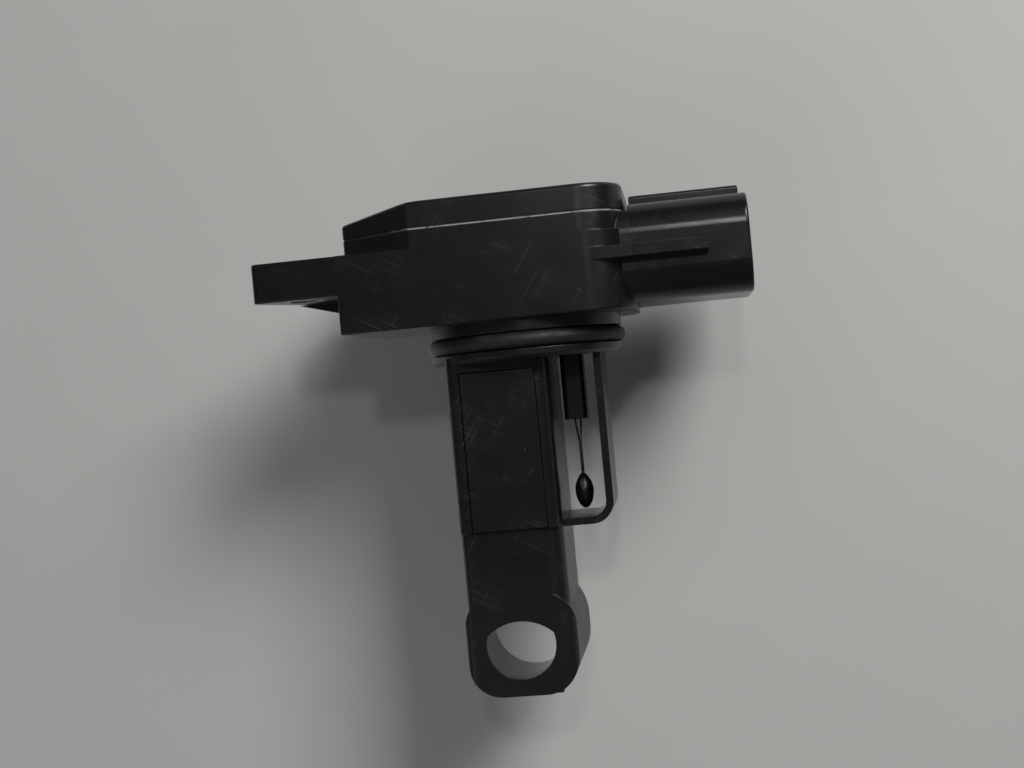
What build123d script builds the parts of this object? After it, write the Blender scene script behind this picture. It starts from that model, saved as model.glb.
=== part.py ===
"""Plug-in hot-wire mass airflow sensor for an engine's intake duct.

The origin is the centre of the round boss, on the flat seat under the head.
+Z runs up through the head and its cover, and the probe hangs down into the
duct along -Z. +X is the way the plug leaves the connector, and -Y is the face
that carries the bypass cover. Every size is in millimetres.
"""

import os

from build123d import *

os.makedirs("parts", exist_ok=True)

# ---------------------------------------------------------------- driving sizes

# Head: the moulded box that holds the circuit
HEAD_LEFT = 25.0            # boss centre to the wall beside the left ear
HEAD_RIGHT = 17.3           # boss centre to the wall behind the connector
HEAD_DEPTH = 31.0           # front face to back face
SHOULDER_HEIGHT = 11.4      # top of the block and of both ears, above the seat
RIM_HEIGHT = 14.0           # joint between the case and its cover
RIM_STEP = 0.1              # how far the rim stands in from the left wall
RIM_GAP = 0.6               # and from the wall behind the connector
HEAD_RADIUS = 6.5           # upright corners on the connector side
HEAD_EDGE = 0.4             # upright corners of the block on the ear side
RIM_EDGE = 0.9              # and those of the rim and cover above it
CASE_WALL = 2.2
CASE_FLOOR = 3.2
CUT_LENGTH = 11.0           # corner cut across rim and cover, along X
CUT_DEPTH = 6.2             # and along Y
BOTTOM_BREAK = 0.3          # rounding of the seat's outer edge

# Cover and the adhesive under it
SEAL_THICKNESS = 0.3
SEAL_INSET = 0.15           # seal's outer edge behind the wall's face
COVER_TOP = 18.1            # above the seat
COVER_SKIN = 1.5
COVER_EDGE = 0.6
SLOPE_RUN = 11.2            # the roof falls towards the ear over this length
SLOPE_DROP = 1.75
RIDGE_RADIUS = 26.0         # soft bend where the roof starts to fall
TONGUE_DEPTH = 1.6
TONGUE_WALL = 1.0
SLIP = 0.05                 # clearance between pieces that are set into each other

# Ears and their bushes
EAR_THICKNESS = 5.75
EAR_REACH = 38.0            # boss centre to the tip of the left ear
EAR_TIP_RADIUS = 1.0
EAR_SCREW_INSET = 7.0       # tip to the screw's axis
EAR_SCREW_Y = -11.0
EAR_SHOULDER_INSET = 5.7    # tip to the bend in the back edge
EAR_SHOULDER_Y = -2.0
EAR_SHOULDER_RADIUS = 3.0
EAR_EDGE = 0.3              # rounding of both ears' top and bottom edges
EAR_ROOT = 2.5              # where the ear's back edge meets the head's wall, along Y
REAR_SCREW = (8.5, 21.0)
REAR_EAR_RADIUS = 5.8
GUSSET_THICKNESS = 2.0
GUSSET_DROP = 2.5
GUSSET_REACH = 9.0          # along the left ear
REAR_GUSSET_REACH = 5.0
GUSSET_Y = -2.2
BUSH_RADIUS = 3.0
BUSH_CHAMFER = 0.3
SCREW_HOLE_RADIUS = 2.25    # clear hole for a 4 mm screw

# Boss that plugs the duct wall, with its O-ring
BOSS_RADIUS = 14.5
BOSS_DEPTH = 5.7
GROOVE_TOP = 1.7
GROOVE_WIDTH = 2.6
GROOVE_RADIUS = 12.5
RING_SECTION = 2.4
BOSS_CHAMFER = 0.5

# Connector shroud
SHROUD_MOUTH = 34.25        # boss centre to the open end
SHROUD_WIDTH = 26.0
SHROUD_HEIGHT = 14.2
SHROUD_BOTTOM = 0.85
SHROUD_RADIUS = 4.5
SHROUD_WALL = 1.5
MOUTH_EDGE = 0.35           # rounding of the rim round the open end
SOCKET_DEPTH = 16.2
RAIL_RISE = 1.65            # top of the guide rails above the shroud
RAIL_WIDTH = 1.6
RAIL_SPACING = 8.4          # centre to centre of the two rails
RAIL_GAP = 0.7              # cover's wall to the near end of the rails
RAIL_INSET = 0.9            # open end to the far end of the rails
RAIL_EDGE = 0.4
LATCH_INSET = 8.8           # open end to the latch ramp's upright face
LATCH_LENGTH = 4.2
LATCH_WIDTH = 4.4
LATCH_RISE = 1.3
RIB_CENTRE = 8.0
RIB_HEIGHT = 1.75
RIB_STAND = 2.45            # how far the side ribs stand out of the shroud
RIB_INSET = 6.9             # open end to the end of each side rib
RIB_TAIL = 0.9              # low step at the end of each side rib

# Terminals
TERMINAL_COUNT = 5
TERMINAL_PITCH = 3.8
TERMINAL_WIDTH = 2.2
TERMINAL_THICKNESS = 0.64
TERMINAL_HEIGHT = 7.45      # underside of the blades above the seat
TERMINAL_INSET = 3.7        # open end to the tips of the blades
TERMINAL_TAPER = 0.6
TERMINAL_ROOT = 11.2
LEDGE_START = 10.3
LEDGE_MARGIN = 2.4          # ledge beyond the outer terminals' centres

# Stem of the probe
STEM_CENTRE = -3.85
STEM_WIDTH = 15.1
STEM_FRONT = 10.3           # probe axis plane to the front face
STEM_BACK = 9.5
STEM_CORNER = 1.4           # upright edges at the back and on the ear side
STEM_NOSE = 2.6             # upright front edge beside the guard
STEP_DEPTH = 30.45          # seat down to the step in the front face
STEP_BACK = 0.8

# Bypass cover on the front of the stem
PANEL_TOP = 7.0
PANEL_WIDTH = 11.2
PANEL_THICKNESS = 1.4
PANEL_EDGE = 0.25
WINDOW_EDGE = 1.5           # seat below the window that the cover closes

# Bypass duct inside the stem
DUCT_WIDTH = 8.4
DUCT_TOP = 11.0
DUCT_TURN_RADIUS = 2.5
DIVIDER_TOP = 17.0
DIVIDER_FRONT = 1.6         # the divider stands in front of the probe axis plane
DIVIDER_THICKNESS = 1.4
REAR_WALL = 1.9

# Flow tube at the tip
TUBE_DROP = 47.2            # seat down to the tube's axis
TUBE_FRONT_WIDTH = 16.3
TUBE_FRONT_HEIGHT = 15.1
TUBE_FRONT_RADIUS = 5.0
TUBE_BACK_WIDTH = 17.5
TUBE_BACK_FLAT = 2.0        # straight length left between its round corners
TUBE_SPLAY = 0.6            # how much faster than the tube its side planes open
LIP_OFFSET = 5.1            # tube axis to the moulding lip under its lower corner
LIP_WIDTH = 0.9
LIP_BOTTOM = 7.4            # tube axis down to the lip's edge
LIP_LENGTH = 5.0
LIP_INSET = 0.3
INLET_RADIUS = 5.1
INLET_CROWN = 3.4           # tube axis up to the middle of the inlet's arched top
INLET_SPRING = 1.3          # and up to the ends of the arch
INLET_WALL = 1.5
INLET_CORNER = 0.4
BORE_FRONT_RADIUS = 5.6
BORE_BACK_RADIUS = 6.5

# Guard around the air temperature bead
GUARD_OUTER = 11.3          # boss centre to its outer face
GUARD_THICKNESS = 1.1
GUARD_DEPTH = 13.2
GUARD_BOTTOM = 30.75
GUARD_RADIUS = 3.3

# Post that carries the bead's leads
POST_LEFT = 4.85
POST_WIDTH = 3.45
POST_DEPTH = 4.8
POST_BOTTOM = 15.3
POST_EDGE = 0.8

# Air temperature bead and its leads
BEAD_X = 6.7
BEAD_TOP = 23.4
BEAD_LENGTH = 5.5
BEAD_BELLY = 3.1            # top of the bead down to its widest place
BEAD_RADIUS = 1.41
BEAD_NECK = 0.38
BEAD_FLAT = 0.15            # radius of the flat under the bead
BEAD_FLARE = 0.8            # slope at which the bead opens below its leads
LEAD_RADIUS = 0.15
LEAD_TOPS = ((6.35, -0.9), (7.0, 0.9))
LEAD_FOOT = (0.08, 0.16)    # each lead's end, off the bead's axis
LEAD_STRAIGHT = 0.8
LEAD_JOIN = 4.8             # bead's top up to where the two leads come together
LEAD_BEND = 1.0
LEAD_SEAT = 12.6
PIN_SQUARE = 0.64

# Element carrier, support pins and the two elements
CARRIER_WIDTH = 7.6
CARRIER_DEPTH = 5.0
CARRIER_CENTRE = -5.3
CARRIER_FLANGE = 1.0
CARRIER_OVERHANG = 1.0
SUPPORT_RADIUS = 0.35
SUPPORT_SPACING = 4.8
SUPPORT_ROW_GAP = 2.2
PIN_TOP = 5.2               # heads of all pins above the seat
HOT_DROP = 24.0
COLD_DROP = 20.0
ELEMENT_RADIUS = 0.4
ELEMENT_LENGTH = 2.2
ELEMENT_WIRE = 0.12

# Circuit board and what is on it
BOARD_GLUE = 0.3
GLUE_INSET = 1.0
BOARD_THICKNESS = 0.8
BOARD_MARGIN = 1.5          # board edge to the case wall
BOARD_RIGHT = 4.8
BOARD_GAP = 0.4             # around the carrier's flange
CHIP_CENTRE = (-14.5, 4.5)
CHIP_SIZE = 5.0
CHIP_HEIGHT = 1.5
CHIP_STAND = 0.15
CHIP_LEGS = 5
CHIP_LEG_PITCH = 0.95
CHIP_LEG_WIDTH = 0.4
CHIP_LEG_THICKNESS = 0.15
CHIP_LEG_REACH = 1.0
CAPACITOR_SIZE = (2.0, 1.25, 0.9)
CAPACITOR_PLACES = ((-5.5, 7.0), (-1.0, 7.0))
RESISTOR_SIZE = (1.6, 0.8, 0.45)
RESISTOR_PLACES = ((-14.5, -3.5), (-14.5, -6.0))
RIBBON_THICKNESS = 0.12
RIBBON_WIDTH = 0.5
RIBBON_FOOT = 0.8
RIBBON_INSET = 1.2          # board edge to the ribbon's end
RIBBON_BEND = 0.2

HALF_DEPTH = HEAD_DEPTH / 2
RIM_LEFT = HEAD_LEFT - RIM_STEP
RIM_RIGHT = HEAD_RIGHT - RIM_GAP
EAR_SCREW = (EAR_SCREW_INSET - EAR_REACH, EAR_SCREW_Y)
EAR_UNDER = SHOULDER_HEIGHT - EAR_THICKNESS
COVER_BASE = RIM_HEIGHT + SEAL_THICKNESS
SHROUD_MIDDLE = SHROUD_BOTTOM + SHROUD_HEIGHT / 2
SHROUD_TOP = SHROUD_BOTTOM + SHROUD_HEIGHT
RIB_END = SHROUD_MOUTH - RIB_INSET
LATCH_START = SHROUD_MOUTH - LATCH_INSET
TERMINAL_TIP = SHROUD_MOUTH - TERMINAL_INSET
BOARD_BOTTOM = CASE_FLOOR + BOARD_GLUE
BOARD_TOP = BOARD_BOTTOM + BOARD_THICKNESS
CARRIER_TOP = CASE_FLOOR + CARRIER_FLANGE
TUBE_AXIS = (STEM_CENTRE, -TUBE_DROP)
TUBE_FRONT = STEM_FRONT - STEP_BACK
DUCT_FRONT = TUBE_FRONT - INLET_WALL
DUCT_BACK = STEM_BACK - REAR_WALL
LAND = GROOVE_TOP + GROOVE_WIDTH + BOSS_CHAMFER     # depth at which the probe is rooted
TERMINAL_SPREAD = (TERMINAL_COUNT - 1) / 2 * TERMINAL_PITCH
TERMINAL_ROW = [n * TERMINAL_PITCH - TERMINAL_SPREAD for n in range(TERMINAL_COUNT)]
HOT_Y = CARRIER_CENTRE + SUPPORT_ROW_GAP / 2
COLD_Y = CARRIER_CENTRE - SUPPORT_ROW_GAP / 2
SUPPORTS = (
    (STEM_CENTRE - SUPPORT_SPACING / 2, HOT_Y, HOT_DROP),
    (STEM_CENTRE + SUPPORT_SPACING / 2, HOT_Y, HOT_DROP),
    (STEM_CENTRE - SUPPORT_SPACING / 2, COLD_Y, COLD_DROP),
    (STEM_CENTRE + SUPPORT_SPACING / 2, COLD_Y, COLD_DROP),
)


# ---------------------------------------------------------------- shared outlines

def block_plan():
    """Plan of the head block: square at the ear side, round at the connector side."""
    with BuildSketch() as plan:
        with BuildLine():
            Polyline(
                (-HEAD_LEFT, -HALF_DEPTH),
                (HEAD_RIGHT, -HALF_DEPTH),
                (HEAD_RIGHT, HALF_DEPTH),
                (-HEAD_LEFT, HALF_DEPTH),
                close=True,
            )
        make_face()
        fillet(plan.vertices().group_by(Axis.X)[-1], HEAD_RADIUS)
        fillet(plan.vertices().group_by(Axis.X)[0], HEAD_EDGE)
    return plan.sketch


def rim_plan(inset=0.0):
    """Plan of the rim and the cover, with the front corner by the ear cut away."""
    with BuildSketch() as plan:
        with BuildLine():
            Polyline(
                (-RIM_LEFT, CUT_DEPTH - HALF_DEPTH),
                (CUT_LENGTH - RIM_LEFT, -HALF_DEPTH),
                (RIM_RIGHT, -HALF_DEPTH),
                (RIM_RIGHT, HALF_DEPTH),
                (-RIM_LEFT, HALF_DEPTH),
                close=True,
            )
        make_face()
        fillet(plan.vertices().group_by(Axis.X)[-1], HEAD_RADIUS)
        fillet(plan.vertices().group_by(Axis.X)[0], RIM_EDGE)
        if inset:
            offset(amount=-inset, mode=Mode.REPLACE)
    return plan.sketch


# ---------------------------------------------------------------- solids used more than once

def between(low, high, mode=Mode.ADD):
    """A box from one corner to the other."""
    size = [b - a for a, b in zip(low, high)]
    middle = [(a + b) / 2 for a, b in zip(low, high)]
    with Locations(tuple(middle)):
        Box(*size, mode=mode)


def stem_section(front):
    """Cross-section of the probe's stem, whose front face stands at -Y = front."""
    with BuildSketch() as section:
        with Locations((STEM_CENTRE, (STEM_BACK - front) / 2)):
            Rectangle(STEM_WIDTH, STEM_BACK + front)
        fillet(section.vertices().group_by(Axis.Y)[-1], STEM_CORNER)
        fillet(section.vertices().group_by(Axis.Y)[0].sort_by(Axis.X)[0], STEM_CORNER)
        fillet(section.vertices().group_by(Axis.Y)[0].sort_by(Axis.X)[-1], STEM_NOSE)
    return section.sketch


def cover_block(inset, bottom, top):
    """The cover's outline between two heights, with its roof sloping to the ear."""
    ridge = SLOPE_RUN - RIM_LEFT
    with BuildPart() as block:
        with BuildSketch(Plane.XY.offset(bottom)):
            add(rim_plan(inset))
        extrude(amount=top - bottom + SLOPE_DROP)
        with BuildSketch(Plane.XZ) as side:
            with BuildLine():
                Polyline(
                    (ridge - 2 * SLOPE_RUN, bottom - SLOPE_DROP),
                    (HEAD_RIGHT, bottom - SLOPE_DROP),
                    (HEAD_RIGHT, top),
                    (ridge, top),
                    (ridge - 2 * SLOPE_RUN, top - 2 * SLOPE_DROP),
                    close=True,
                )
            make_face()
            fillet(side.vertices().group_by(Axis.Y)[-1].sort_by(Axis.X)[0], RIDGE_RADIUS)
        extrude(amount=HEAD_DEPTH, both=True, mode=Mode.INTERSECT)
    return block.part


def left_lug():
    """Flat ear, flush with the head's front face and drawn out to a point."""
    with BuildPart() as lug:
        with BuildSketch(Plane.XY.offset(EAR_UNDER)) as plan:
            with BuildLine():
                Polyline(
                    (CASE_WALL - HEAD_LEFT, -HALF_DEPTH),
                    (-EAR_REACH, -HALF_DEPTH),
                    (EAR_SHOULDER_INSET - EAR_REACH, EAR_SHOULDER_Y),
                    (CASE_WALL - HEAD_LEFT, EAR_ROOT),
                    close=True,
                )
            make_face()
            fillet(plan.vertices().sort_by(Axis.X)[0], EAR_TIP_RADIUS)
            fillet(plan.vertices().sort_by(Axis.Y)[-2], EAR_SHOULDER_RADIUS)
        extrude(amount=EAR_THICKNESS)
        fillet(lug.faces().filter_by(Axis.Z).edges(), EAR_EDGE)
    return lug.part


def rear_lug():
    """Round ear on the far side, across the boss from the left one."""
    with BuildPart() as lug:
        with BuildSketch(Plane.XY.offset(EAR_UNDER)):
            with Locations(REAR_SCREW):
                Circle(REAR_EAR_RADIUS)
            with Locations((REAR_SCREW[0], HALF_DEPTH - CASE_WALL / 2)):
                Rectangle(2 * REAR_EAR_RADIUS, CASE_WALL)
            make_hull()
        extrude(amount=EAR_THICKNESS)
        fillet(lug.faces().filter_by(Axis.Z).edges(), EAR_EDGE)
    return lug.part


def guide_rail(y):
    """Straight rail along the shroud's top, rounded over its end and edges."""
    with BuildPart() as rail:
        between(
            (RIM_RIGHT + RAIL_GAP, y - RAIL_WIDTH / 2, SHROUD_TOP - SHROUD_WALL / 2),
            (SHROUD_MOUTH - RAIL_INSET, y + RAIL_WIDTH / 2, SHROUD_TOP + RAIL_RISE),
        )
        fillet(rail.faces().sort_by(Axis.Z)[-1].edges(), RAIL_EDGE)
    return rail.part


def flow_tube():
    """Tube across the tip, wider at the back, its front edges rounded as the stem's."""
    front_half = TUBE_FRONT_WIDTH / 2
    back_half = TUBE_BACK_WIDTH / 2 + TUBE_SPLAY
    back_radius = (TUBE_BACK_WIDTH - TUBE_BACK_FLAT) / 2
    with BuildPart() as tube:
        with BuildSketch(Plane.XZ.offset(TUBE_FRONT)):
            with Locations(TUBE_AXIS):
                RectangleRounded(TUBE_FRONT_WIDTH, TUBE_FRONT_HEIGHT, TUBE_FRONT_RADIUS)
        with BuildSketch(Plane.XZ.offset(-STEM_BACK)):
            with Locations(TUBE_AXIS):
                RectangleRounded(TUBE_BACK_WIDTH, TUBE_BACK_WIDTH, back_radius)
        loft()
        with BuildSketch(Plane.XY.offset(-TUBE_DROP - TUBE_BACK_WIDTH)) as plan:
            with BuildLine():
                Polyline(
                    (STEM_CENTRE - front_half, -TUBE_FRONT),
                    (STEM_CENTRE + front_half, -TUBE_FRONT),
                    (STEM_CENTRE + back_half, STEM_BACK),
                    (STEM_CENTRE - back_half, STEM_BACK),
                    close=True,
                )
            make_face()
            fillet(plan.vertices().group_by(Axis.Y)[0].sort_by(Axis.X)[0], STEM_CORNER)
            fillet(plan.vertices().group_by(Axis.Y)[0].sort_by(Axis.X)[-1], STEM_NOSE)
        extrude(amount=2 * TUBE_BACK_WIDTH, mode=Mode.INTERSECT)
    return tube.part


# ---------------------------------------------------------------- sensor housing

with BuildPart() as sensor_housing:
    # Head block, with the rim that the cover sits on
    with BuildSketch():
        add(block_plan())
    extrude(amount=SHOULDER_HEIGHT)
    fillet(sensor_housing.faces().sort_by(Axis.Z)[0].edges(), BOTTOM_BREAK)
    with BuildSketch(Plane.XY.offset(SHOULDER_HEIGHT)):
        add(rim_plan())
    extrude(amount=RIM_HEIGHT - SHOULDER_HEIGHT)

    # Ears
    add(left_lug())
    add(rear_lug())

    # Gusset under each ear
    with BuildSketch(Plane.XZ.offset(-GUSSET_Y)):
        with BuildLine():
            Polyline(
                (CASE_WALL - HEAD_LEFT, EAR_UNDER),
                (-HEAD_LEFT - GUSSET_REACH, EAR_UNDER),
                (-HEAD_LEFT, EAR_UNDER - GUSSET_DROP),
                (CASE_WALL - HEAD_LEFT, EAR_UNDER - GUSSET_DROP),
                close=True,
            )
        make_face()
    extrude(amount=GUSSET_THICKNESS / 2, both=True)
    with BuildSketch(Plane.YZ.offset(REAR_SCREW[0] - REAR_EAR_RADIUS + GUSSET_THICKNESS / 2)):
        with BuildLine():
            Polyline(
                (HALF_DEPTH - CASE_WALL, EAR_UNDER),
                (HALF_DEPTH + REAR_GUSSET_REACH, EAR_UNDER),
                (HALF_DEPTH, EAR_UNDER - GUSSET_DROP),
                (HALF_DEPTH - CASE_WALL, EAR_UNDER - GUSSET_DROP),
                close=True,
            )
        make_face()
    extrude(amount=GUSSET_THICKNESS / 2, both=True)

    # Connector shroud, rooted in the head's wall
    with BuildSketch(Plane.YZ.offset(HEAD_RIGHT - HEAD_RADIUS / 2)):
        with Locations((0, SHROUD_MIDDLE)):
            RectangleRounded(SHROUD_WIDTH, SHROUD_HEIGHT, SHROUD_RADIUS)
    extrude(amount=SHROUD_MOUTH - HEAD_RIGHT + HEAD_RADIUS / 2)
    between(
        (0, -SHROUD_WIDTH / 2, RIM_HEIGHT),
        (HEAD_RIGHT, SHROUD_WIDTH / 2, SHROUD_TOP),
        mode=Mode.SUBTRACT,
    )
    with BuildSketch(Plane.YZ.offset(SHROUD_MOUTH)):
        with Locations((0, SHROUD_MIDDLE)):
            RectangleRounded(
                SHROUD_WIDTH - 2 * SHROUD_WALL,
                SHROUD_HEIGHT - 2 * SHROUD_WALL,
                SHROUD_RADIUS - SHROUD_WALL,
            )
    extrude(amount=-SOCKET_DEPTH, mode=Mode.SUBTRACT)

    fillet(sensor_housing.faces().sort_by(Axis.X)[-1].edges(), MOUTH_EDGE)

    # Two guide rails along the top of the shroud, and the ramp for the plug's latch
    for side in (-1, 1):
        add(guide_rail(side * RAIL_SPACING / 2))
    with BuildSketch(Plane.XZ):
        with BuildLine():
            Polyline(
                (LATCH_START, SHROUD_TOP - SHROUD_WALL / 2),
                (LATCH_START, SHROUD_TOP + LATCH_RISE),
                (LATCH_START + LATCH_RISE, SHROUD_TOP + LATCH_RISE),
                (LATCH_START + LATCH_LENGTH, SHROUD_TOP),
                (LATCH_START + LATCH_LENGTH, SHROUD_TOP - SHROUD_WALL / 2),
                close=True,
            )
        make_face()
    extrude(amount=LATCH_WIDTH / 2, both=True)

    # A rib along each side of the shroud, with a low step at its end
    for side in (-1, 1):
        inner = side * (SHROUD_WIDTH / 2 - SHROUD_WALL / 2)
        outer = side * (SHROUD_WIDTH / 2 + RIB_STAND)
        near, far = sorted((inner, outer))
        between(
            (HEAD_RIGHT - HEAD_RADIUS, near, RIB_CENTRE - RIB_HEIGHT / 2),
            (RIB_END, far, RIB_CENTRE + RIB_HEIGHT / 2),
        )
        between(
            (RIB_END, near, RIB_CENTRE - RIB_HEIGHT / 2),
            (RIB_END + RIB_TAIL, far, RIB_CENTRE),
        )

    # Boss with the O-ring's groove
    with BuildSketch(Plane.XZ):
        with BuildLine():
            Polyline(
                (0, CASE_FLOOR / 2),
                (BOSS_RADIUS, CASE_FLOOR / 2),
                (BOSS_RADIUS, -GROOVE_TOP),
                (GROOVE_RADIUS, -GROOVE_TOP),
                (GROOVE_RADIUS, -GROOVE_TOP - GROOVE_WIDTH),
                (BOSS_RADIUS, -GROOVE_TOP - GROOVE_WIDTH),
                (BOSS_RADIUS, BOSS_CHAMFER - BOSS_DEPTH),
                (BOSS_RADIUS - BOSS_CHAMFER, -BOSS_DEPTH),
                (0, -BOSS_DEPTH),
                close=True,
            )
        make_face()
    revolve(axis=Axis.Z)

    # Stem: its front face steps back below the bypass cover
    with BuildSketch(Plane.XY.offset(-STEP_DEPTH)):
        add(stem_section(STEM_FRONT))
    extrude(amount=STEP_DEPTH - LAND)
    with BuildSketch(Plane.XY.offset(-TUBE_DROP)):
        add(stem_section(TUBE_FRONT))
    extrude(amount=TUBE_DROP - STEP_DEPTH)

    # Flow tube across the tip, with a short moulding lip under its lower corner
    add(flow_tube())
    between(
        (
            STEM_CENTRE + LIP_OFFSET - LIP_WIDTH / 2,
            LIP_INSET - TUBE_FRONT,
            -TUBE_DROP - LIP_BOTTOM,
        ),
        (
            STEM_CENTRE + LIP_OFFSET + LIP_WIDTH / 2,
            LIP_INSET + LIP_LENGTH - TUBE_FRONT,
            INLET_WALL - TUBE_DROP - LIP_BOTTOM,
        ),
    )

    # Guard: a broad strap from the boss down and round to the stem
    guard_inner = GUARD_OUTER - GUARD_THICKNESS
    guard_floor = GUARD_BOTTOM - GUARD_THICKNESS
    with BuildSketch(Plane.XZ):
        with BuildLine():
            FilletPolyline(
                (GUARD_OUTER, -LAND),
                (GUARD_OUTER, -GUARD_BOTTOM),
                (STEM_CENTRE, -GUARD_BOTTOM),
                radius=GUARD_RADIUS,
            )
            Line((STEM_CENTRE, -GUARD_BOTTOM), (STEM_CENTRE, -guard_floor))
            FilletPolyline(
                (STEM_CENTRE, -guard_floor),
                (guard_inner, -guard_floor),
                (guard_inner, -LAND),
                radius=GUARD_RADIUS - GUARD_THICKNESS,
            )
            Line(
                (guard_inner, -LAND),
                (GUARD_OUTER, -LAND),
            )
        make_face()
    extrude(amount=GUARD_DEPTH / 2, both=True)

    # Post that the bead hangs from
    with BuildSketch(Plane.XY.offset(-POST_BOTTOM)):
        with Locations((POST_LEFT + POST_WIDTH / 2, 0)):
            RectangleRounded(POST_WIDTH, POST_DEPTH, POST_EDGE)
    extrude(amount=POST_BOTTOM - LAND)

    # Room for the circuit, with a ledge under the terminals' inner ends
    with BuildSketch(Plane.XY.offset(CASE_FLOOR)):
        add(rim_plan(CASE_WALL))
    extrude(amount=RIM_HEIGHT - CASE_FLOOR, mode=Mode.SUBTRACT)
    ledge_half = TERMINAL_SPREAD + LEDGE_MARGIN
    between(
        (LEDGE_START, -ledge_half, CASE_FLOOR),
        (HEAD_RIGHT - CASE_WALL, ledge_half, TERMINAL_HEIGHT - SLIP),
    )

    # Slot for each terminal through the wall between circuit and socket
    for terminal_y in TERMINAL_ROW:
        between(
            (
                RIM_RIGHT - CASE_WALL,
                terminal_y - TERMINAL_WIDTH / 2 - SLIP,
                TERMINAL_HEIGHT - SLIP,
            ),
            (
                SHROUD_MOUTH - SOCKET_DEPTH,
                terminal_y + TERMINAL_WIDTH / 2 + SLIP,
                TERMINAL_HEIGHT + TERMINAL_THICKNESS + SLIP,
            ),
            mode=Mode.SUBTRACT,
        )

    # Bypass duct: up in front of the divider, over it and down behind
    with BuildSketch(Plane.YZ.offset(STEM_CENTRE)) as duct:
        with BuildLine():
            Polyline(
                (-DUCT_FRONT, -TUBE_DROP),
                (-DUCT_FRONT, -DUCT_TOP),
                (DUCT_BACK, -DUCT_TOP),
                (DUCT_BACK, -TUBE_DROP),
                (DIVIDER_THICKNESS - DIVIDER_FRONT, -TUBE_DROP),
                (DIVIDER_THICKNESS - DIVIDER_FRONT, -DIVIDER_TOP),
                (-DIVIDER_FRONT, -DIVIDER_TOP),
                (-DIVIDER_FRONT, -TUBE_DROP),
                close=True,
            )
        make_face()
        fillet(duct.vertices().group_by(Axis.Y)[-1], DUCT_TURN_RADIUS)
    extrude(amount=DUCT_WIDTH / 2, both=True, mode=Mode.SUBTRACT)

    # Seat and window for the bypass cover
    between(
        (STEM_CENTRE - PANEL_WIDTH / 2, -STEM_FRONT, -STEP_DEPTH),
        (STEM_CENTRE + PANEL_WIDTH / 2, PANEL_THICKNESS - STEM_FRONT, -PANEL_TOP),
        mode=Mode.SUBTRACT,
    )
    between(
        (STEM_CENTRE - DUCT_WIDTH / 2, -STEM_FRONT, WINDOW_EDGE - STEP_DEPTH),
        (STEM_CENTRE + DUCT_WIDTH / 2, -DUCT_FRONT, -DUCT_TOP),
        mode=Mode.SUBTRACT,
    )

    # Flow passage: a low-arched inlet in front of a bore that opens out to the back
    bore_axis = Axis((STEM_CENTRE, 0, -TUBE_DROP), (0, 1, 0))
    with BuildSketch(Plane(bore_axis.position, x_dir=(0, 1, 0), z_dir=(1, 0, 0))):
        with BuildLine():
            Polyline(
                (-DUCT_FRONT, 0),
                (-DUCT_FRONT, BORE_FRONT_RADIUS),
                (STEM_BACK, BORE_BACK_RADIUS),
                (STEM_BACK, 0),
                close=True,
            )
        make_face()
    revolve(axis=bore_axis, mode=Mode.SUBTRACT)
    with BuildSketch(Plane.XZ.offset(TUBE_FRONT)) as inlet:
        with Locations(TUBE_AXIS):
            Circle(INLET_RADIUS)
        with BuildLine():
            ThreePointArc(
                (STEM_CENTRE - INLET_RADIUS, INLET_SPRING - TUBE_DROP),
                (STEM_CENTRE, INLET_CROWN - TUBE_DROP),
                (STEM_CENTRE + INLET_RADIUS, INLET_SPRING - TUBE_DROP),
            )
            Polyline(
                (STEM_CENTRE + INLET_RADIUS, INLET_SPRING - TUBE_DROP),
                (STEM_CENTRE + INLET_RADIUS, -TUBE_DROP - 2 * INLET_RADIUS),
                (STEM_CENTRE - INLET_RADIUS, -TUBE_DROP - 2 * INLET_RADIUS),
                (STEM_CENTRE - INLET_RADIUS, INLET_SPRING - TUBE_DROP),
            )
        make_face(mode=Mode.INTERSECT)
        fillet(inlet.vertices(), INLET_CORNER)
    extrude(amount=-INLET_WALL, mode=Mode.SUBTRACT)

    # Well for the element carrier, from the circuit down to the bypass duct
    between(
        (
            STEM_CENTRE - CARRIER_WIDTH / 2 - SLIP,
            CARRIER_CENTRE - CARRIER_DEPTH / 2 - SLIP,
            -DUCT_TOP - DUCT_TURN_RADIUS,
        ),
        (
            STEM_CENTRE + CARRIER_WIDTH / 2 + SLIP,
            CARRIER_CENTRE + CARRIER_DEPTH / 2 + SLIP,
            CASE_FLOOR,
        ),
        mode=Mode.SUBTRACT,
    )

    # Passages for the bead's pins and leads
    for lead_x, lead_y in LEAD_TOPS:
        half = PIN_SQUARE / 2 + SLIP
        between(
            (lead_x - half, lead_y - half, -LEAD_SEAT),
            (lead_x + half, lead_y + half, CASE_FLOOR),
            mode=Mode.SUBTRACT,
        )
        with Locations((lead_x, lead_y, -LEAD_SEAT)):
            Hole(LEAD_RADIUS + SLIP, depth=POST_BOTTOM - LEAD_SEAT)

    # Holes for the bushes in both ears
    with Locations((*EAR_SCREW, SHOULDER_HEIGHT), (*REAR_SCREW, SHOULDER_HEIGHT)):
        Hole(BUSH_RADIUS + SLIP, depth=EAR_THICKNESS)

sensor_housing.part.label = "sensor_housing"
export_step(sensor_housing.part, "parts/sensor_housing.step")


# ---------------------------------------------------------------- cover and seal

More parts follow.
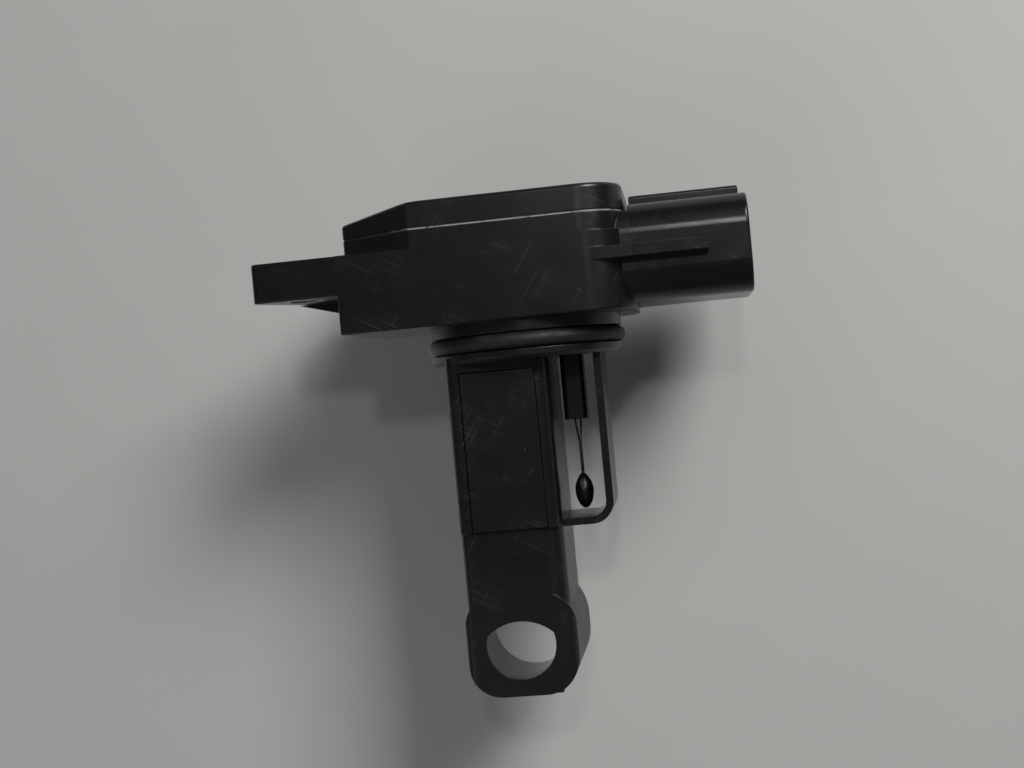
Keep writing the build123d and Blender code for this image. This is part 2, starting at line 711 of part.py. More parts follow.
with BuildPart() as head_cover:
    add(cover_block(0, COVER_BASE, COVER_TOP))
    roof = head_cover.faces().filter_by(lambda face: face.normal_at().Z > 0.9)
    outer_edges = [
        edge for edge in roof.edges() if sum(edge in face.edges() for face in roof) == 1
    ]
    fillet(outer_edges, COVER_EDGE)
    with BuildSketch(Plane.XY.offset(COVER_BASE - TONGUE_DEPTH)):
        add(rim_plan(CASE_WALL + SLIP))
    extrude(amount=TONGUE_DEPTH + COVER_SKIN / 2)
    add(
        cover_block(
            CASE_WALL + SLIP + TONGUE_WALL,
            COVER_BASE - TONGUE_DEPTH,
            COVER_TOP - COVER_SKIN,
        ),
        mode=Mode.SUBTRACT,
    )

head_cover.part.label = "head_cover"
export_step(head_cover.part, "parts/head_cover.step")

with BuildPart() as cover_seal:
    with BuildSketch(Plane.XY.offset(RIM_HEIGHT)):
        add(rim_plan(SEAL_INSET))
        add(rim_plan(CASE_WALL), mode=Mode.SUBTRACT)
    extrude(amount=SEAL_THICKNESS)

cover_seal.part.label = "cover_seal"
export_step(cover_seal.part, "parts/cover_seal.step")


# ---------------------------------------------------------------- O-ring and bushes

with BuildPart() as o_ring:
    with Locations((0, 0, -GROOVE_TOP - GROOVE_WIDTH / 2)):
        Torus(GROOVE_RADIUS + SLIP + RING_SECTION / 2, RING_SECTION / 2)

o_ring.part.label = "o_ring"
export_step(o_ring.part, "parts/o_ring.step")


def ear_bush(centre):
    """Rolled metal bush that takes the screw's clamping force through an ear."""
    with BuildPart() as bush:
        with BuildSketch(Plane.XY.offset(EAR_UNDER)):
            with Locations(centre):
                Circle(BUSH_RADIUS)
                Circle(SCREW_HOLE_RADIUS, mode=Mode.SUBTRACT)
        extrude(amount=EAR_THICKNESS)
        chamfer(bush.faces().sort_by(Axis.Z)[-1].outer_wire().edges(), BUSH_CHAMFER)
    return bush.part


left_bush = ear_bush(EAR_SCREW)
left_bush.label = "left_bush"
export_step(left_bush, "parts/left_bush.step")

rear_bush = ear_bush(REAR_SCREW)
rear_bush.label = "rear_bush"
export_step(rear_bush, "parts/rear_bush.step")


# ---------------------------------------------------------------- bypass cover

with BuildPart() as bypass_cover:
    with BuildSketch(Plane.XZ.offset(STEM_FRONT)):
        with Locations((STEM_CENTRE, -(PANEL_TOP + STEP_DEPTH) / 2)):
            Rectangle(PANEL_WIDTH - 2 * SLIP, STEP_DEPTH - PANEL_TOP - 2 * SLIP)
    extrude(amount=SLIP - PANEL_THICKNESS)
    fillet(bypass_cover.faces().sort_by(Axis.Y)[0].edges(), PANEL_EDGE)
    between(
        (
            STEM_CENTRE - DUCT_WIDTH / 2 + SLIP,
            -STEM_FRONT + PANEL_THICKNESS / 2,
            WINDOW_EDGE - STEP_DEPTH + SLIP,
        ),
        (
            STEM_CENTRE + DUCT_WIDTH / 2 - SLIP,
            -DUCT_FRONT,
            -DUCT_TOP - SLIP,
        ),
    )

bypass_cover.part.label = "bypass_cover"
export_step(bypass_cover.part, "parts/bypass_cover.step")


# ---------------------------------------------------------------- connector terminals

def terminal(y):
    """Flat blade with a tapered tip, from the socket to the ledge by the circuit."""
    with BuildPart() as blade:
        with BuildSketch(Plane.XY.offset(TERMINAL_HEIGHT)) as flat:
            with Locations(((TERMINAL_ROOT + TERMINAL_TIP) / 2, y)):
                Rectangle(TERMINAL_TIP - TERMINAL_ROOT, TERMINAL_WIDTH)
            chamfer(flat.vertices().group_by(Axis.X)[-1], TERMINAL_TAPER)
        extrude(amount=TERMINAL_THICKNESS)
        with BuildSketch(Plane.XZ.offset(-y)):
            with BuildLine():
                Polyline(
                    (TERMINAL_ROOT, TERMINAL_HEIGHT),
                    (TERMINAL_TIP - TERMINAL_TAPER, TERMINAL_HEIGHT),
                    (TERMINAL_TIP, TERMINAL_HEIGHT + TERMINAL_THICKNESS / 4),
                    (TERMINAL_TIP, TERMINAL_HEIGHT + TERMINAL_THICKNESS * 3 / 4),
                    (TERMINAL_TIP - TERMINAL_TAPER, TERMINAL_HEIGHT + TERMINAL_THICKNESS),
                    (TERMINAL_ROOT, TERMINAL_HEIGHT + TERMINAL_THICKNESS),
                    close=True,
                )
            make_face()
        extrude(amount=TERMINAL_WIDTH / 2, both=True, mode=Mode.INTERSECT)
    return blade.part


for number, row_y in enumerate(TERMINAL_ROW, start=1):
    blade = terminal(row_y)
    blade.label = f"terminal_{number}"
    export_step(blade, f"parts/terminal_{number}.step")


# ---------------------------------------------------------------- air temperature bead

with BuildPart() as air_temp_bead:
    with BuildSketch(Plane.XZ):
        with BuildLine():
            Line((BEAD_X, -BEAD_TOP), (BEAD_X + BEAD_NECK, -BEAD_TOP))
            Spline(
                (BEAD_X + BEAD_NECK, -BEAD_TOP),
                (BEAD_X + BEAD_RADIUS, -BEAD_TOP - BEAD_BELLY),
                tangents=((BEAD_FLARE, -1), (0, -1)),
            )
            Spline(
                (BEAD_X + BEAD_RADIUS, -BEAD_TOP - BEAD_BELLY),
                (BEAD_X + BEAD_FLAT, -BEAD_TOP - BEAD_LENGTH),
                tangents=((0, -1), (-1, 0)),
            )
            Line((BEAD_X + BEAD_FLAT, -BEAD_TOP - BEAD_LENGTH), (BEAD_X, -BEAD_TOP - BEAD_LENGTH))
            Line((BEAD_X, -BEAD_TOP - BEAD_LENGTH), (BEAD_X, -BEAD_TOP))
        make_face()
    revolve(axis=Axis((BEAD_X, 0, 0), (0, 0, 1)))

air_temp_bead.part.label = "air_temp_bead"
export_step(air_temp_bead.part, "parts/air_temp_bead.step")


def bead_lead(top, side):
    """Wire from the post to the bead: straight, then leaning in to meet its twin."""
    foot_x = BEAD_X + side * LEAD_FOOT[0]
    foot_y = side * LEAD_FOOT[1]
    with BuildPart() as wire:
        with BuildLine() as route:
            FilletPolyline(
                (*top, -LEAD_SEAT),
                (*top, -POST_BOTTOM - LEAD_STRAIGHT),
                (foot_x, foot_y, LEAD_JOIN - BEAD_TOP),
                (foot_x, foot_y, -BEAD_TOP),
                radius=LEAD_BEND,
            )
        with BuildSketch(Plane((*top, -LEAD_SEAT), z_dir=(0, 0, -1))):
            Circle(LEAD_RADIUS)
        sweep(path=route.line)
    return wire.part


def bead_pin(top):
    """Square pin from the circuit down to the head of a lead."""
    with BuildPart() as pin:
        half = PIN_SQUARE / 2
        between(
            (top[0] - half, top[1] - half, -LEAD_SEAT),
            (top[0] + half, top[1] + half, PIN_TOP),
        )
        chamfer(pin.faces().sort_by(Axis.Z)[-1].edges(), PIN_SQUARE / 6)
    return pin.part


for number, (top, side) in enumerate(zip(LEAD_TOPS, (-1, 1)), start=1):
    wire = bead_lead(top, side)
    wire.label = f"bead_lead_{number}"
    export_step(wire, f"parts/bead_lead_{number}.step")
    pin = bead_pin(top)
    pin.label = f"bead_pin_{number}"
    export_step(pin, f"parts/bead_pin_{number}.step")


# ---------------------------------------------------------------- element carrier

with BuildPart() as element_carrier:
    between(
        (
            STEM_CENTRE - CARRIER_WIDTH / 2,
            CARRIER_CENTRE - CARRIER_DEPTH / 2,
            -DUCT_TOP,
        ),
        (
            STEM_CENTRE + CARRIER_WIDTH / 2,
            CARRIER_CENTRE + CARRIER_DEPTH / 2,
            CASE_FLOOR + CARRIER_FLANGE,
        ),
    )
    with BuildSketch(Plane.XY.offset(CASE_FLOOR + SLIP)):
        with Locations((STEM_CENTRE, CARRIER_CENTRE)):
            RectangleRounded(
                CARRIER_WIDTH + 2 * CARRIER_OVERHANG,
                CARRIER_DEPTH + 2 * CARRIER_OVERHANG,
                CARRIER_OVERHANG,
            )
    extrude(amount=CARRIER_FLANGE - SLIP)
    with Locations(*[(x, y, CARRIER_TOP) for x, y, drop in SUPPORTS]):
        Hole(SUPPORT_RADIUS + SLIP, depth=CARRIER_TOP + DUCT_TOP)

element_carrier.part.label = "element_carrier"
export_step(element_carrier.part, "parts/element_carrier.step")


def support_pin(x, y, drop):
    """Round pin that carries one end of an element down in the duct."""
    with BuildPart() as pin:
        with BuildSketch(Plane.XY.offset(-drop)):
            with Locations((x, y)):
                Circle(SUPPORT_RADIUS)
        extrude(amount=drop + PIN_TOP)
        chamfer(pin.faces().sort_by(Axis.Z)[-1].edges(), SUPPORT_RADIUS / 4)
    return pin.part


for number, support in enumerate(SUPPORTS, start=1):
    pin = support_pin(*support)
    pin.label = f"support_pin_{number}"
    export_step(pin, f"parts/support_pin_{number}.step")


def element(y, drop):
    """Wound bobbin with a lead at each end, laid across the foot of two pins."""
    wire_z = -drop - ELEMENT_WIRE
    half_wire = SUPPORT_SPACING / 2 + SUPPORT_RADIUS
    with BuildPart() as bobbin:
        with BuildSketch(Plane.XZ.offset(-y)):
            with BuildLine():
                Polyline(
                    (STEM_CENTRE - half_wire, wire_z),
                    (STEM_CENTRE - half_wire, wire_z + ELEMENT_WIRE),
                    (STEM_CENTRE - ELEMENT_LENGTH / 2, wire_z + ELEMENT_WIRE),
                    (STEM_CENTRE - ELEMENT_LENGTH / 2, wire_z + ELEMENT_RADIUS),
                    (STEM_CENTRE + ELEMENT_LENGTH / 2, wire_z + ELEMENT_RADIUS),
                    (STEM_CENTRE + ELEMENT_LENGTH / 2, wire_z + ELEMENT_WIRE),
                    (STEM_CENTRE + half_wire, wire_z + ELEMENT_WIRE),
                    (STEM_CENTRE + half_wire, wire_z),
                    close=True,
                )
            make_face()
        revolve(axis=Axis((STEM_CENTRE, y, wire_z), (1, 0, 0)))
    return bobbin.part


hot_element = element(HOT_Y, HOT_DROP)
hot_element.label = "hot_element"
export_step(hot_element, "parts/hot_element.step")

cold_element = element(COLD_Y, COLD_DROP)
cold_element.label = "cold_element"
export_step(cold_element, "parts/cold_element.step")


# ---------------------------------------------------------------- circuit

def board_plan(inset=0.0):
    """Outline of the board: the case's plan cut short of the pins, with a window."""
    with BuildSketch() as plan:
        add(rim_plan(CASE_WALL + BOARD_MARGIN + inset))
        with Locations((BOARD_RIGHT - inset, 0)):
            Rectangle(
                HEAD_LEFT + BOARD_RIGHT,
                HEAD_DEPTH,
                align=(Align.MAX, Align.CENTER),
                mode=Mode.INTERSECT,
            )
        with Locations((STEM_CENTRE, CARRIER_CENTRE)):
            Rectangle(
                CARRIER_WIDTH + 2 * (CARRIER_OVERHANG + BOARD_GAP + inset),
                CARRIER_DEPTH + 2 * (CARRIER_OVERHANG + BOARD_GAP + inset),
                mode=Mode.SUBTRACT,
            )
    return plan.sketch


with BuildPart() as board_adhesive:
    with BuildSketch(Plane.XY.offset(CASE_FLOOR)):
        add(board_plan(GLUE_INSET))
    extrude(amount=BOARD_GLUE)

board_adhesive.part.label = "board_adhesive"
export_step(board_adhesive.part, "parts/board_adhesive.step")

with BuildPart() as circuit_board:
    with BuildSketch(Plane.XY.offset(BOARD_BOTTOM)):
        add(board_plan())
    extrude(amount=BOARD_THICKNESS)

circuit_board.part.label = "circuit_board"
export_step(circuit_board.part, "parts/circuit_board.step")

with BuildPart() as control_chip:
    chip_x, chip_y = CHIP_CENTRE
    leg_z = BOARD_TOP + CHIP_LEG_THICKNESS / 2
    for number in range(CHIP_LEGS):
        leg_y = chip_y + (number - (CHIP_LEGS - 1) / 2) * CHIP_LEG_PITCH
        with BuildSketch(Plane.XZ.offset(-leg_y)):
            with BuildLine():
                Polyline(
                    (chip_x - CHIP_SIZE / 2 - CHIP_LEG_REACH, leg_z),
                    (chip_x - CHIP_SIZE / 2 - CHIP_LEG_REACH / 2, leg_z),
                    (chip_x - CHIP_SIZE / 2 - CHIP_LEG_REACH / 2, BOARD_TOP + CHIP_HEIGHT / 2),
                    (chip_x, BOARD_TOP + CHIP_HEIGHT / 2),
                )
            trace(line_width=CHIP_LEG_THICKNESS)
        extrude(amount=CHIP_LEG_WIDTH / 2, both=True)
    mirror(about=Plane.YZ.offset(chip_x))
    between(
        (chip_x - CHIP_SIZE / 2, chip_y - CHIP_SIZE / 2, BOARD_TOP + CHIP_STAND),
        (chip_x + CHIP_SIZE / 2, chip_y + CHIP_SIZE / 2, BOARD_TOP + CHIP_HEIGHT),
    )

control_chip.part.label = "control_chip"
export_step(control_chip.part, "parts/control_chip.step")


def small_chip(place, size):
    """Block-shaped capacitor or resistor, flat on the board."""
    with BuildPart() as block:
        with Locations((*place, BOARD_TOP)):
            Box(*size, align=(Align.CENTER, Align.CENTER, Align.MIN))
    return block.part


for number, place in enumerate(CAPACITOR_PLACES, start=1):
    block = small_chip(place, CAPACITOR_SIZE)
    block.label = f"capacitor_{number}"
    export_step(block, f"parts/capacitor_{number}.step")

for number, place in enumerate(RESISTOR_PLACES, start=1):
    block = small_chip(place, RESISTOR_SIZE)
    block.label = f"resistor_{number}"
    export_step(block, f"parts/resistor_{number}.step")


# ---------------------------------------------------------------- ribbons

def ribbon(board_x, far_x, far_z, y):
    """Strip from a pad on the board up to the top of a pin or a terminal."""
    step = RIBBON_FOOT if far_x > board_x else -RIBBON_FOOT
    with BuildPart() as strip:
        with BuildSketch(Plane.XZ.offset(-y)):
            with BuildLine():
                FilletPolyline(
                    (board_x, BOARD_TOP + RIBBON_THICKNESS / 2),
                    (board_x + step, BOARD_TOP + RIBBON_THICKNESS / 2),
                    (far_x - step, far_z + RIBBON_THICKNESS / 2),
                    (far_x, far_z + RIBBON_THICKNESS / 2),
                    radius=RIBBON_BEND,
                )
            trace(line_width=RIBBON_THICKNESS)
        extrude(amount=RIBBON_WIDTH / 2, both=True)
    return strip.part


window_left = STEM_CENTRE - CARRIER_WIDTH / 2 - CARRIER_OVERHANG - BOARD_GAP
window_right = STEM_CENTRE + CARRIER_WIDTH / 2 + CARRIER_OVERHANG + BOARD_GAP
terminal_top = TERMINAL_HEIGHT + TERMINAL_THICKNESS
ribbon_runs = [
    (BOARD_RIGHT - RIBBON_INSET, TERMINAL_ROOT + RIBBON_FOOT / 2, terminal_top, row_y)
    for row_y in TERMINAL_ROW
]
ribbon_runs += [
    (BOARD_RIGHT - RIBBON_INSET, top[0] + PIN_SQUARE / 2, PIN_TOP, top[1])
    for top in LEAD_TOPS
]
for support_x, support_y, drop in SUPPORTS:
    if support_x < STEM_CENTRE:
        ribbon_runs.append(
            (window_left - RIBBON_INSET, support_x + SUPPORT_RADIUS, PIN_TOP, support_y)
        )
    else:
        ribbon_runs.append(
            (window_right + RIBBON_INSET, support_x - SUPPORT_RADIUS, PIN_TOP, support_y)
        )

for number, run in enumerate(ribbon_runs, start=1):
    strip = ribbon(*run)
    strip.label = f"ribbon_{number}"
    export_step(strip, f"parts/ribbon_{number}.step")
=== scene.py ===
"""Finishes, bench, light and camera of a plug-in mass airflow sensor.

The sensor lies on its back on a pale bench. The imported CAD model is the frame, in
metres: +Z runs up through the head and its cover, +X leaves the connector, and -Y is
the side that faces up from the bench.
"""

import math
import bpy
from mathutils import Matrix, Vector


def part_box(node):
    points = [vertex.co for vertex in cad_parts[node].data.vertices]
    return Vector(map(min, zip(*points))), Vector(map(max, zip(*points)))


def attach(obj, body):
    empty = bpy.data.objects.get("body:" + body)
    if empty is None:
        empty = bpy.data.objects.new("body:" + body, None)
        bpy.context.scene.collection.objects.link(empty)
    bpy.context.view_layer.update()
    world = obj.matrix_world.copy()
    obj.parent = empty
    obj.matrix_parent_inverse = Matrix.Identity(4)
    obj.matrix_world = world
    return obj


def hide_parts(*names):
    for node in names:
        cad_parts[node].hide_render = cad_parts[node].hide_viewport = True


bl_info = {
    "name": "Mass airflow sensor finishes",
    "version": (1, 0, 0),
    "blender": (4, 5, 0),
    "location": "3D View > Sidebar > Airflow sensor",
    "description": "Moulded, rubber, metal and epoxy finishes for a plug-in airflow sensor",
    "category": "Material",
}

import bmesh
import bpy
from mathutils import Matrix, Vector

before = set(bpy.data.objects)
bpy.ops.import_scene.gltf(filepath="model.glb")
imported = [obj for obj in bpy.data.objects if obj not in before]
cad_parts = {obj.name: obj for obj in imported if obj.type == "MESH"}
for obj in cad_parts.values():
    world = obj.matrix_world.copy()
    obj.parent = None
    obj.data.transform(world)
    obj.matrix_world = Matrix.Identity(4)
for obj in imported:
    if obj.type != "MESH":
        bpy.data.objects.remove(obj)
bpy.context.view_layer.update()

MM = 0.001
MICRON = 0.000001

# Soft lamps: name, way to it from the sensor, side of its square, and its power as a
# share of the key's. The back lamp only reaches the far side, which the bench hides.
LAMPS = (
    ("key_lamp", (0.5, -0.66, 0.56), 280 * MM, 1.0),
    ("fill_lamp", (-0.55, -0.6, -0.58), 450 * MM, 0.13),
    ("front_lamp", (0.08, -0.948, 0.31), 40 * MM, 0.085),
    ("back_lamp", (-0.45, 0.87, 0.15), 700 * MM, 1.6),
)


def linear(hex_colour):
    """An sRGB hex colour as linear red, green, blue and alpha."""
    values = [int(hex_colour[i:i + 2], 16) / 255 for i in (1, 3, 5)]
    return [
        v / 12.92 if v <= 0.04045 else ((v + 0.055) / 1.055) ** 2.4 for v in values
    ] + [1.0]


# ------------------------------------------------------------------ settings

def colour_setting(name, hex_colour, description):
    """A colour that the user may change."""
    return bpy.props.FloatVectorProperty(
        name=name,
        description=description,
        subtype="COLOR",
        size=4,
        min=0.0,
        max=1.0,
        default=linear(hex_colour),
    )


def length_setting(name, millimetres, description, least=0.0):
    """A length that the user may change. It is given in millimetres, kept in metres."""
    return bpy.props.FloatProperty(
        name=name,
        description=description,
        unit="LENGTH",
        subtype="DISTANCE",
        min=least * MM,
        precision=6,
        default=millimetres * MM,
    )


def share_setting(name, value, description):
    """A share between nothing and all."""
    return bpy.props.FloatProperty(
        name=name, description=description, subtype="FACTOR", min=0.0, max=1.0, default=value
    )


class PlasticSettings(bpy.types.PropertyGroup):
    """Black glass-filled polyester, as moulded."""

    housing_colour: colour_setting("Housing", "#07080a", "Colour of the moulded housing")
    cover_colour: colour_setting("Covers", "#090a0b", "Colour of the head and bypass covers")
    carrier_colour: colour_setting("Carrier", "#101011", "Colour of the element carrier")
    rubbed_colour: colour_setting("Rubbed edge", "#2a2b2d", "Colour where edges are rubbed")
    dust_colour: colour_setting("Dust", "#6d6962", "Colour of specks of road dust")
    head_roughness: share_setting("Head roughness", 0.28, "Grained faces of head and probe")
    shroud_roughness: share_setting("Shroud roughness", 0.24, "Polished faces of the shroud")
    cover_roughness: share_setting("Cover roughness", 0.29, "Faces of the two covers")
    grain_size: length_setting("Grain", 0.2, "Size of the mould's spark-eroded grain")
    edge_radius: length_setting("Edge", 0.22, "Radius of edges that a mould never leaves sharp")
    shroud_start: length_setting("Shroud start", 17.6, "Where the polished shroud begins")


class SealSettings(bpy.types.PropertyGroup):
    """Silicone adhesive and the O-ring."""

    adhesive_colour: colour_setting("Adhesive", "#8f8f8a", "Silicone in the cover's joint")
    ring_colour: colour_setting("O-ring", "#0b0b0c", "Nitrile rubber")
    ring_middle: length_setting(
        "Ring's mould line", -3.0, "Height of the ring's mould line", least=-20.0
    )


class MetalSettings(bpy.types.PropertyGroup):
    """Bushes, terminals, pins, leads and ribbons."""

    bush_colour: colour_setting("Bushes", "#a9a79d", "Zinc-plated steel")
    tin_colour: colour_setting("Terminals", "#bdbab1", "Tin-plated brass")
    pin_colour: colour_setting("Pins", "#b4b2ac", "Bright drawn steel wire")
    lead_colour: colour_setting("Leads", "#5f5a52", "Tinned wire, darkened by use")
    ribbon_colour: colour_setting("Ribbons", "#d2d3d5", "Bright aluminium")


class SensingSettings(bpy.types.PropertyGroup):
    """Bead, elements and the circuit."""

    bead_colour: colour_setting("Bead", "#15100d", "Dipped epoxy of the temperature bead")
    bead_shoulder: bpy.props.FloatProperty(
        name="Bead's shoulder",
        description="How fast the bead draws in above its middle, where 0.5 is a ball",
        min=0.3,
        default=0.85,
    )
    bead_foot: bpy.props.FloatProperty(
        name="Bead's foot",
        description="How fast the bead draws in below its middle, where 0.5 is a ball",
        min=0.3,
        default=0.57,
    )
    bead_coat: length_setting("Bead's coat", 1.3, "How far the dip creeps up the leads")
    bead_lumps: length_setting("Bead's lumps", 0.09, "How far the dip sags out of round")
    glass_colour: colour_setting("Elements", "#cfcabf", "Glass over a wound element")
    board_colour: colour_setting("Board", "#dcdad2", "White alumina")
    track_colour: colour_setting("Tracks", "#8e8f91", "Printed silver tracks")
    chip_colour: colour_setting("Chip", "#161617", "Moulded epoxy package")
    capacitor_colour: colour_setting("Capacitors", "#9a7a55", "Fired ceramic")


class StageSettings(bpy.types.PropertyGroup):
    """Bench, lamps and camera."""

    bench_colour: colour_setting("Bench", "#a8a8a5", "Plain pale bench")
    bench_place: length_setting("Bench", 26.9, "From the probe's middle plane to the bench")
    bench_size: length_setting("Bench size", 1600.0, "Length of its sides")
    lamp_distance: length_setting("Lamp distance", 700.0, "From the sensor to each lamp")
    lamp_power: bpy.props.FloatProperty(
        name="Lamp power", description="Power of the key lamp", min=0.0, default=5.4
    )
    ambient: bpy.props.FloatProperty(
        name="Room", description="Strength of the room's own light", min=0.0, default=0.13
    )
    lens: bpy.props.FloatProperty(
        name="Lens", description="Focal length in millimetres", min=1.0, default=49.92
    )
    distance: length_setting("Distance", 216.0, "From the boss centre to the camera")
    turn: bpy.props.FloatProperty(
        name="Turn",
        description="How far the camera stands towards the connector",
        subtype="ANGLE",
        default=math.radians(7.0),
    )
    roll: bpy.props.FloatProperty(
        name="Roll",
        description="How far the camera is turned about its view",
        subtype="ANGLE",
        default=math.radians(5.3),
    )
    side: length_setting("Side", -1.977, "Shift along the camera's right", least=-100.0)
    rise: length_setting("Rise", -9.431, "Shift along the camera's up", least=-100.0)


# ------------------------------------------------------------------ small helpers

def add_node(tree, kind, settings=None, links=None):
    """Add a shader node, set its sockets or properties, and link what feeds it."""
    node = tree.nodes.new(kind)
    for key, value in (settings or {}).items():
        if not isinstance(key, int) and hasattr(node, key):
            setattr(node, key, value)
    for key, value in (settings or {}).items():
        if isinstance(key, int) or not hasattr(node, key):
            node.inputs[key].default_value = value
    for key, source in (links or {}).items():
        tree.links.new(source, node.inputs[key])
    return node


def new_material(name):
    """An empty node material, its tree, and the place on the object."""
    material = bpy.data.materials.new(name)
    material.use_nodes = True
    tree = material.node_tree
    tree.nodes.clear()
    place = add_node(tree, "ShaderNodeTexCoord").outputs["Object"]
    return material, tree, place


def dress(material, names):
    """Give CAD nodes a material in all their slots."""
    for name in names:
        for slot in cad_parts[name].material_slots:
            slot.material = material


def nodes_called(*prefixes):
    """CAD nodes whose names start with one of the prefixes, in order."""
    return sorted(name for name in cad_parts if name.startswith(prefixes))


# ------------------------------------------------------------------ plastics

# Sizes of what the mould, handling and rubbing leave on the plastic
WALL_WAVE = 6 * MM
FILM_PATCH = 7 * MM
RUBBED_PATCH = 1.6 * MM
SCRATCH_CELL = (13 * MM, 4 * MM, 0.2 * MM)
DUST_CELL = 3 * MM
DUST_REACH = 0.045  # Radius of the largest speck, as a share of its cell

# Relief in microns
GRAIN_HEIGHT = 3.4
POLISHED_GRAIN_HEIGHT = 1.1
WALL_WAVE_HEIGHT = 22.0
SCRATCH_DEPTH = 3.0
SPECK_HEIGHT = 12.0

# What dirt and wear add to the roughness of the mould's own finish
SOOT_ROUGHNESS = 0.1
FILM_ROUGHNESS = 0.05
SCRATCH_ROUGHNESS = 0.12
DUST_ROUGHNESS = 0.35

# Heights on the probe between which soot goes from none to full
SOOT_STARTS = -30 * MM
SOOT_FULL = -44 * MM

SHROUD_BLEND = 0.2 * MM
FILM_TINT = 1.4  # How much paler the plastic is under the film
RUBBED_SHARE = 0.55


def rubbed_edges(tree, place, rounded):
    """Share of grey that rubbing leaves, in patches along the edges."""
    facing = add_node(tree, "ShaderNodeNewGeometry").outputs["Normal"]
    turned = add_node(
        tree,
        "ShaderNodeVectorMath",
        {"operation": "DOT_PRODUCT"},
        {0: rounded, 1: facing},
    )
    on_edge = add_node(
        tree,
        "ShaderNodeMapRange",
        {"From Min": 0.985, "From Max": 0.9},
        {"Value": turned.outputs["Value"]},
    )
    patches = add_node(
        tree,
        "ShaderNodeTexNoise",
        {"Scale": 1 / RUBBED_PATCH, "Detail": 3.0},
        {"Vector": place},
    )
    rubbed = add_node(
        tree,
        "ShaderNodeMapRange",
        {"From Min": 0.5, "From Max": 0.68, "To Max": RUBBED_SHARE},
        {"Value": patches.outputs["Fac"]},
    )
    return add_node(
        tree,
        "ShaderNodeMath",
        {"operation": "MULTIPLY"},
        {0: on_edge.outputs[0], 1: rubbed.outputs[0]},
    ).outputs[0]


def handling_film(tree, place):
    """Share of the cloudy film that hands leave, in patches."""
    cloud = add_node(
        tree,
        "ShaderNodeTexNoise",
        {"Scale": 1 / FILM_PATCH, "Detail": 4.0, "Roughness": 0.6, "Distortion": 0.6},
        {"Vector": place},
    )
    return add_node(
        tree,
        "ShaderNodeMapRange",
        {"From Min": 0.46, "From Max": 0.74},
        {"Value": cloud.outputs["Fac"]},
    ).outputs[0]


def hairlines(tree, place, turn, low, high):
    """Thin, long scratches across the faces that look along Y, all at one angle."""
    along = add_node(
        tree,
        "ShaderNodeMapping",
        {"vector_type": "TEXTURE", "Rotation": (0.0, turn, 0.0), "Scale": SCRATCH_CELL},
        {"Vector": place},
    )
    streak = add_node(
        tree,
        "ShaderNodeTexNoise",
        {"Scale": 1.0, "Detail": 0.0},
        {"Vector": along.outputs[0]},
    )
    return add_node(
        tree,
        "ShaderNodeMapRange",
        {"From Min": low, "From Max": high},
        {"Value": streak.outputs["Fac"]},
    ).outputs[0]


def scratches(tree, place, film):
    """Hairlines at two angles, in the handled patches of the faces that look along Y.

    They come out 0.1 to 0.2 mm wide, which is wider than real ones, so that they show.
    """
    one_way = hairlines(tree, place, math.radians(28), 0.71, 0.76)
    other_way = hairlines(tree, place, math.radians(-57), 0.72, 0.77)
    both = add_node(
        tree,
        "ShaderNodeMath",
        {"operation": "MAXIMUM"},
        {0: one_way, 1: other_way},
    )
    in_patches = add_node(
        tree,
        "ShaderNodeMath",
        {"operation": "MULTIPLY"},
        {0: both.outputs[0], 1: film},
    )
    way = add_node(tree, "ShaderNodeTexCoord").outputs["Normal"]
    split = add_node(tree, "ShaderNodeSeparateXYZ", {}, {"Vector": way})
    along_y = add_node(
        tree,
        "ShaderNodeMath",
        {"operation": "ABSOLUTE"},
        {0: split.outputs["Y"]},
    )
    return add_node(
        tree,
        "ShaderNodeMath",
        {"operation": "MULTIPLY"},
        {0: in_patches.outputs[0], 1: along_y.outputs[0]},
    ).outputs[0]


def dust_specks(tree, place):
    """Specks of dust up to a quarter of a millimetre across, in some of the cells."""
    cells = add_node(
        tree,
        "ShaderNodeTexVoronoi",
        {"Scale": 1 / DUST_CELL},
        {"Vector": place},
    )
    chosen = add_node(
        tree,
        "ShaderNodeSeparateColor",
        {},
        {"Color": cells.outputs["Color"]},
    )
    reach = add_node(
        tree,
        "ShaderNodeMapRange",
        {"From Min": 0.55, "From Max": 1.0, "To Max": DUST_REACH},
        {"Value": chosen.outputs[0]},
    )
    return add_node(
        tree,
        "ShaderNodeMath",
        {"operation": "LESS_THAN"},
        {0: cells.outputs["Distance"], 1: reach.outputs[0]},
    ).outputs[0]


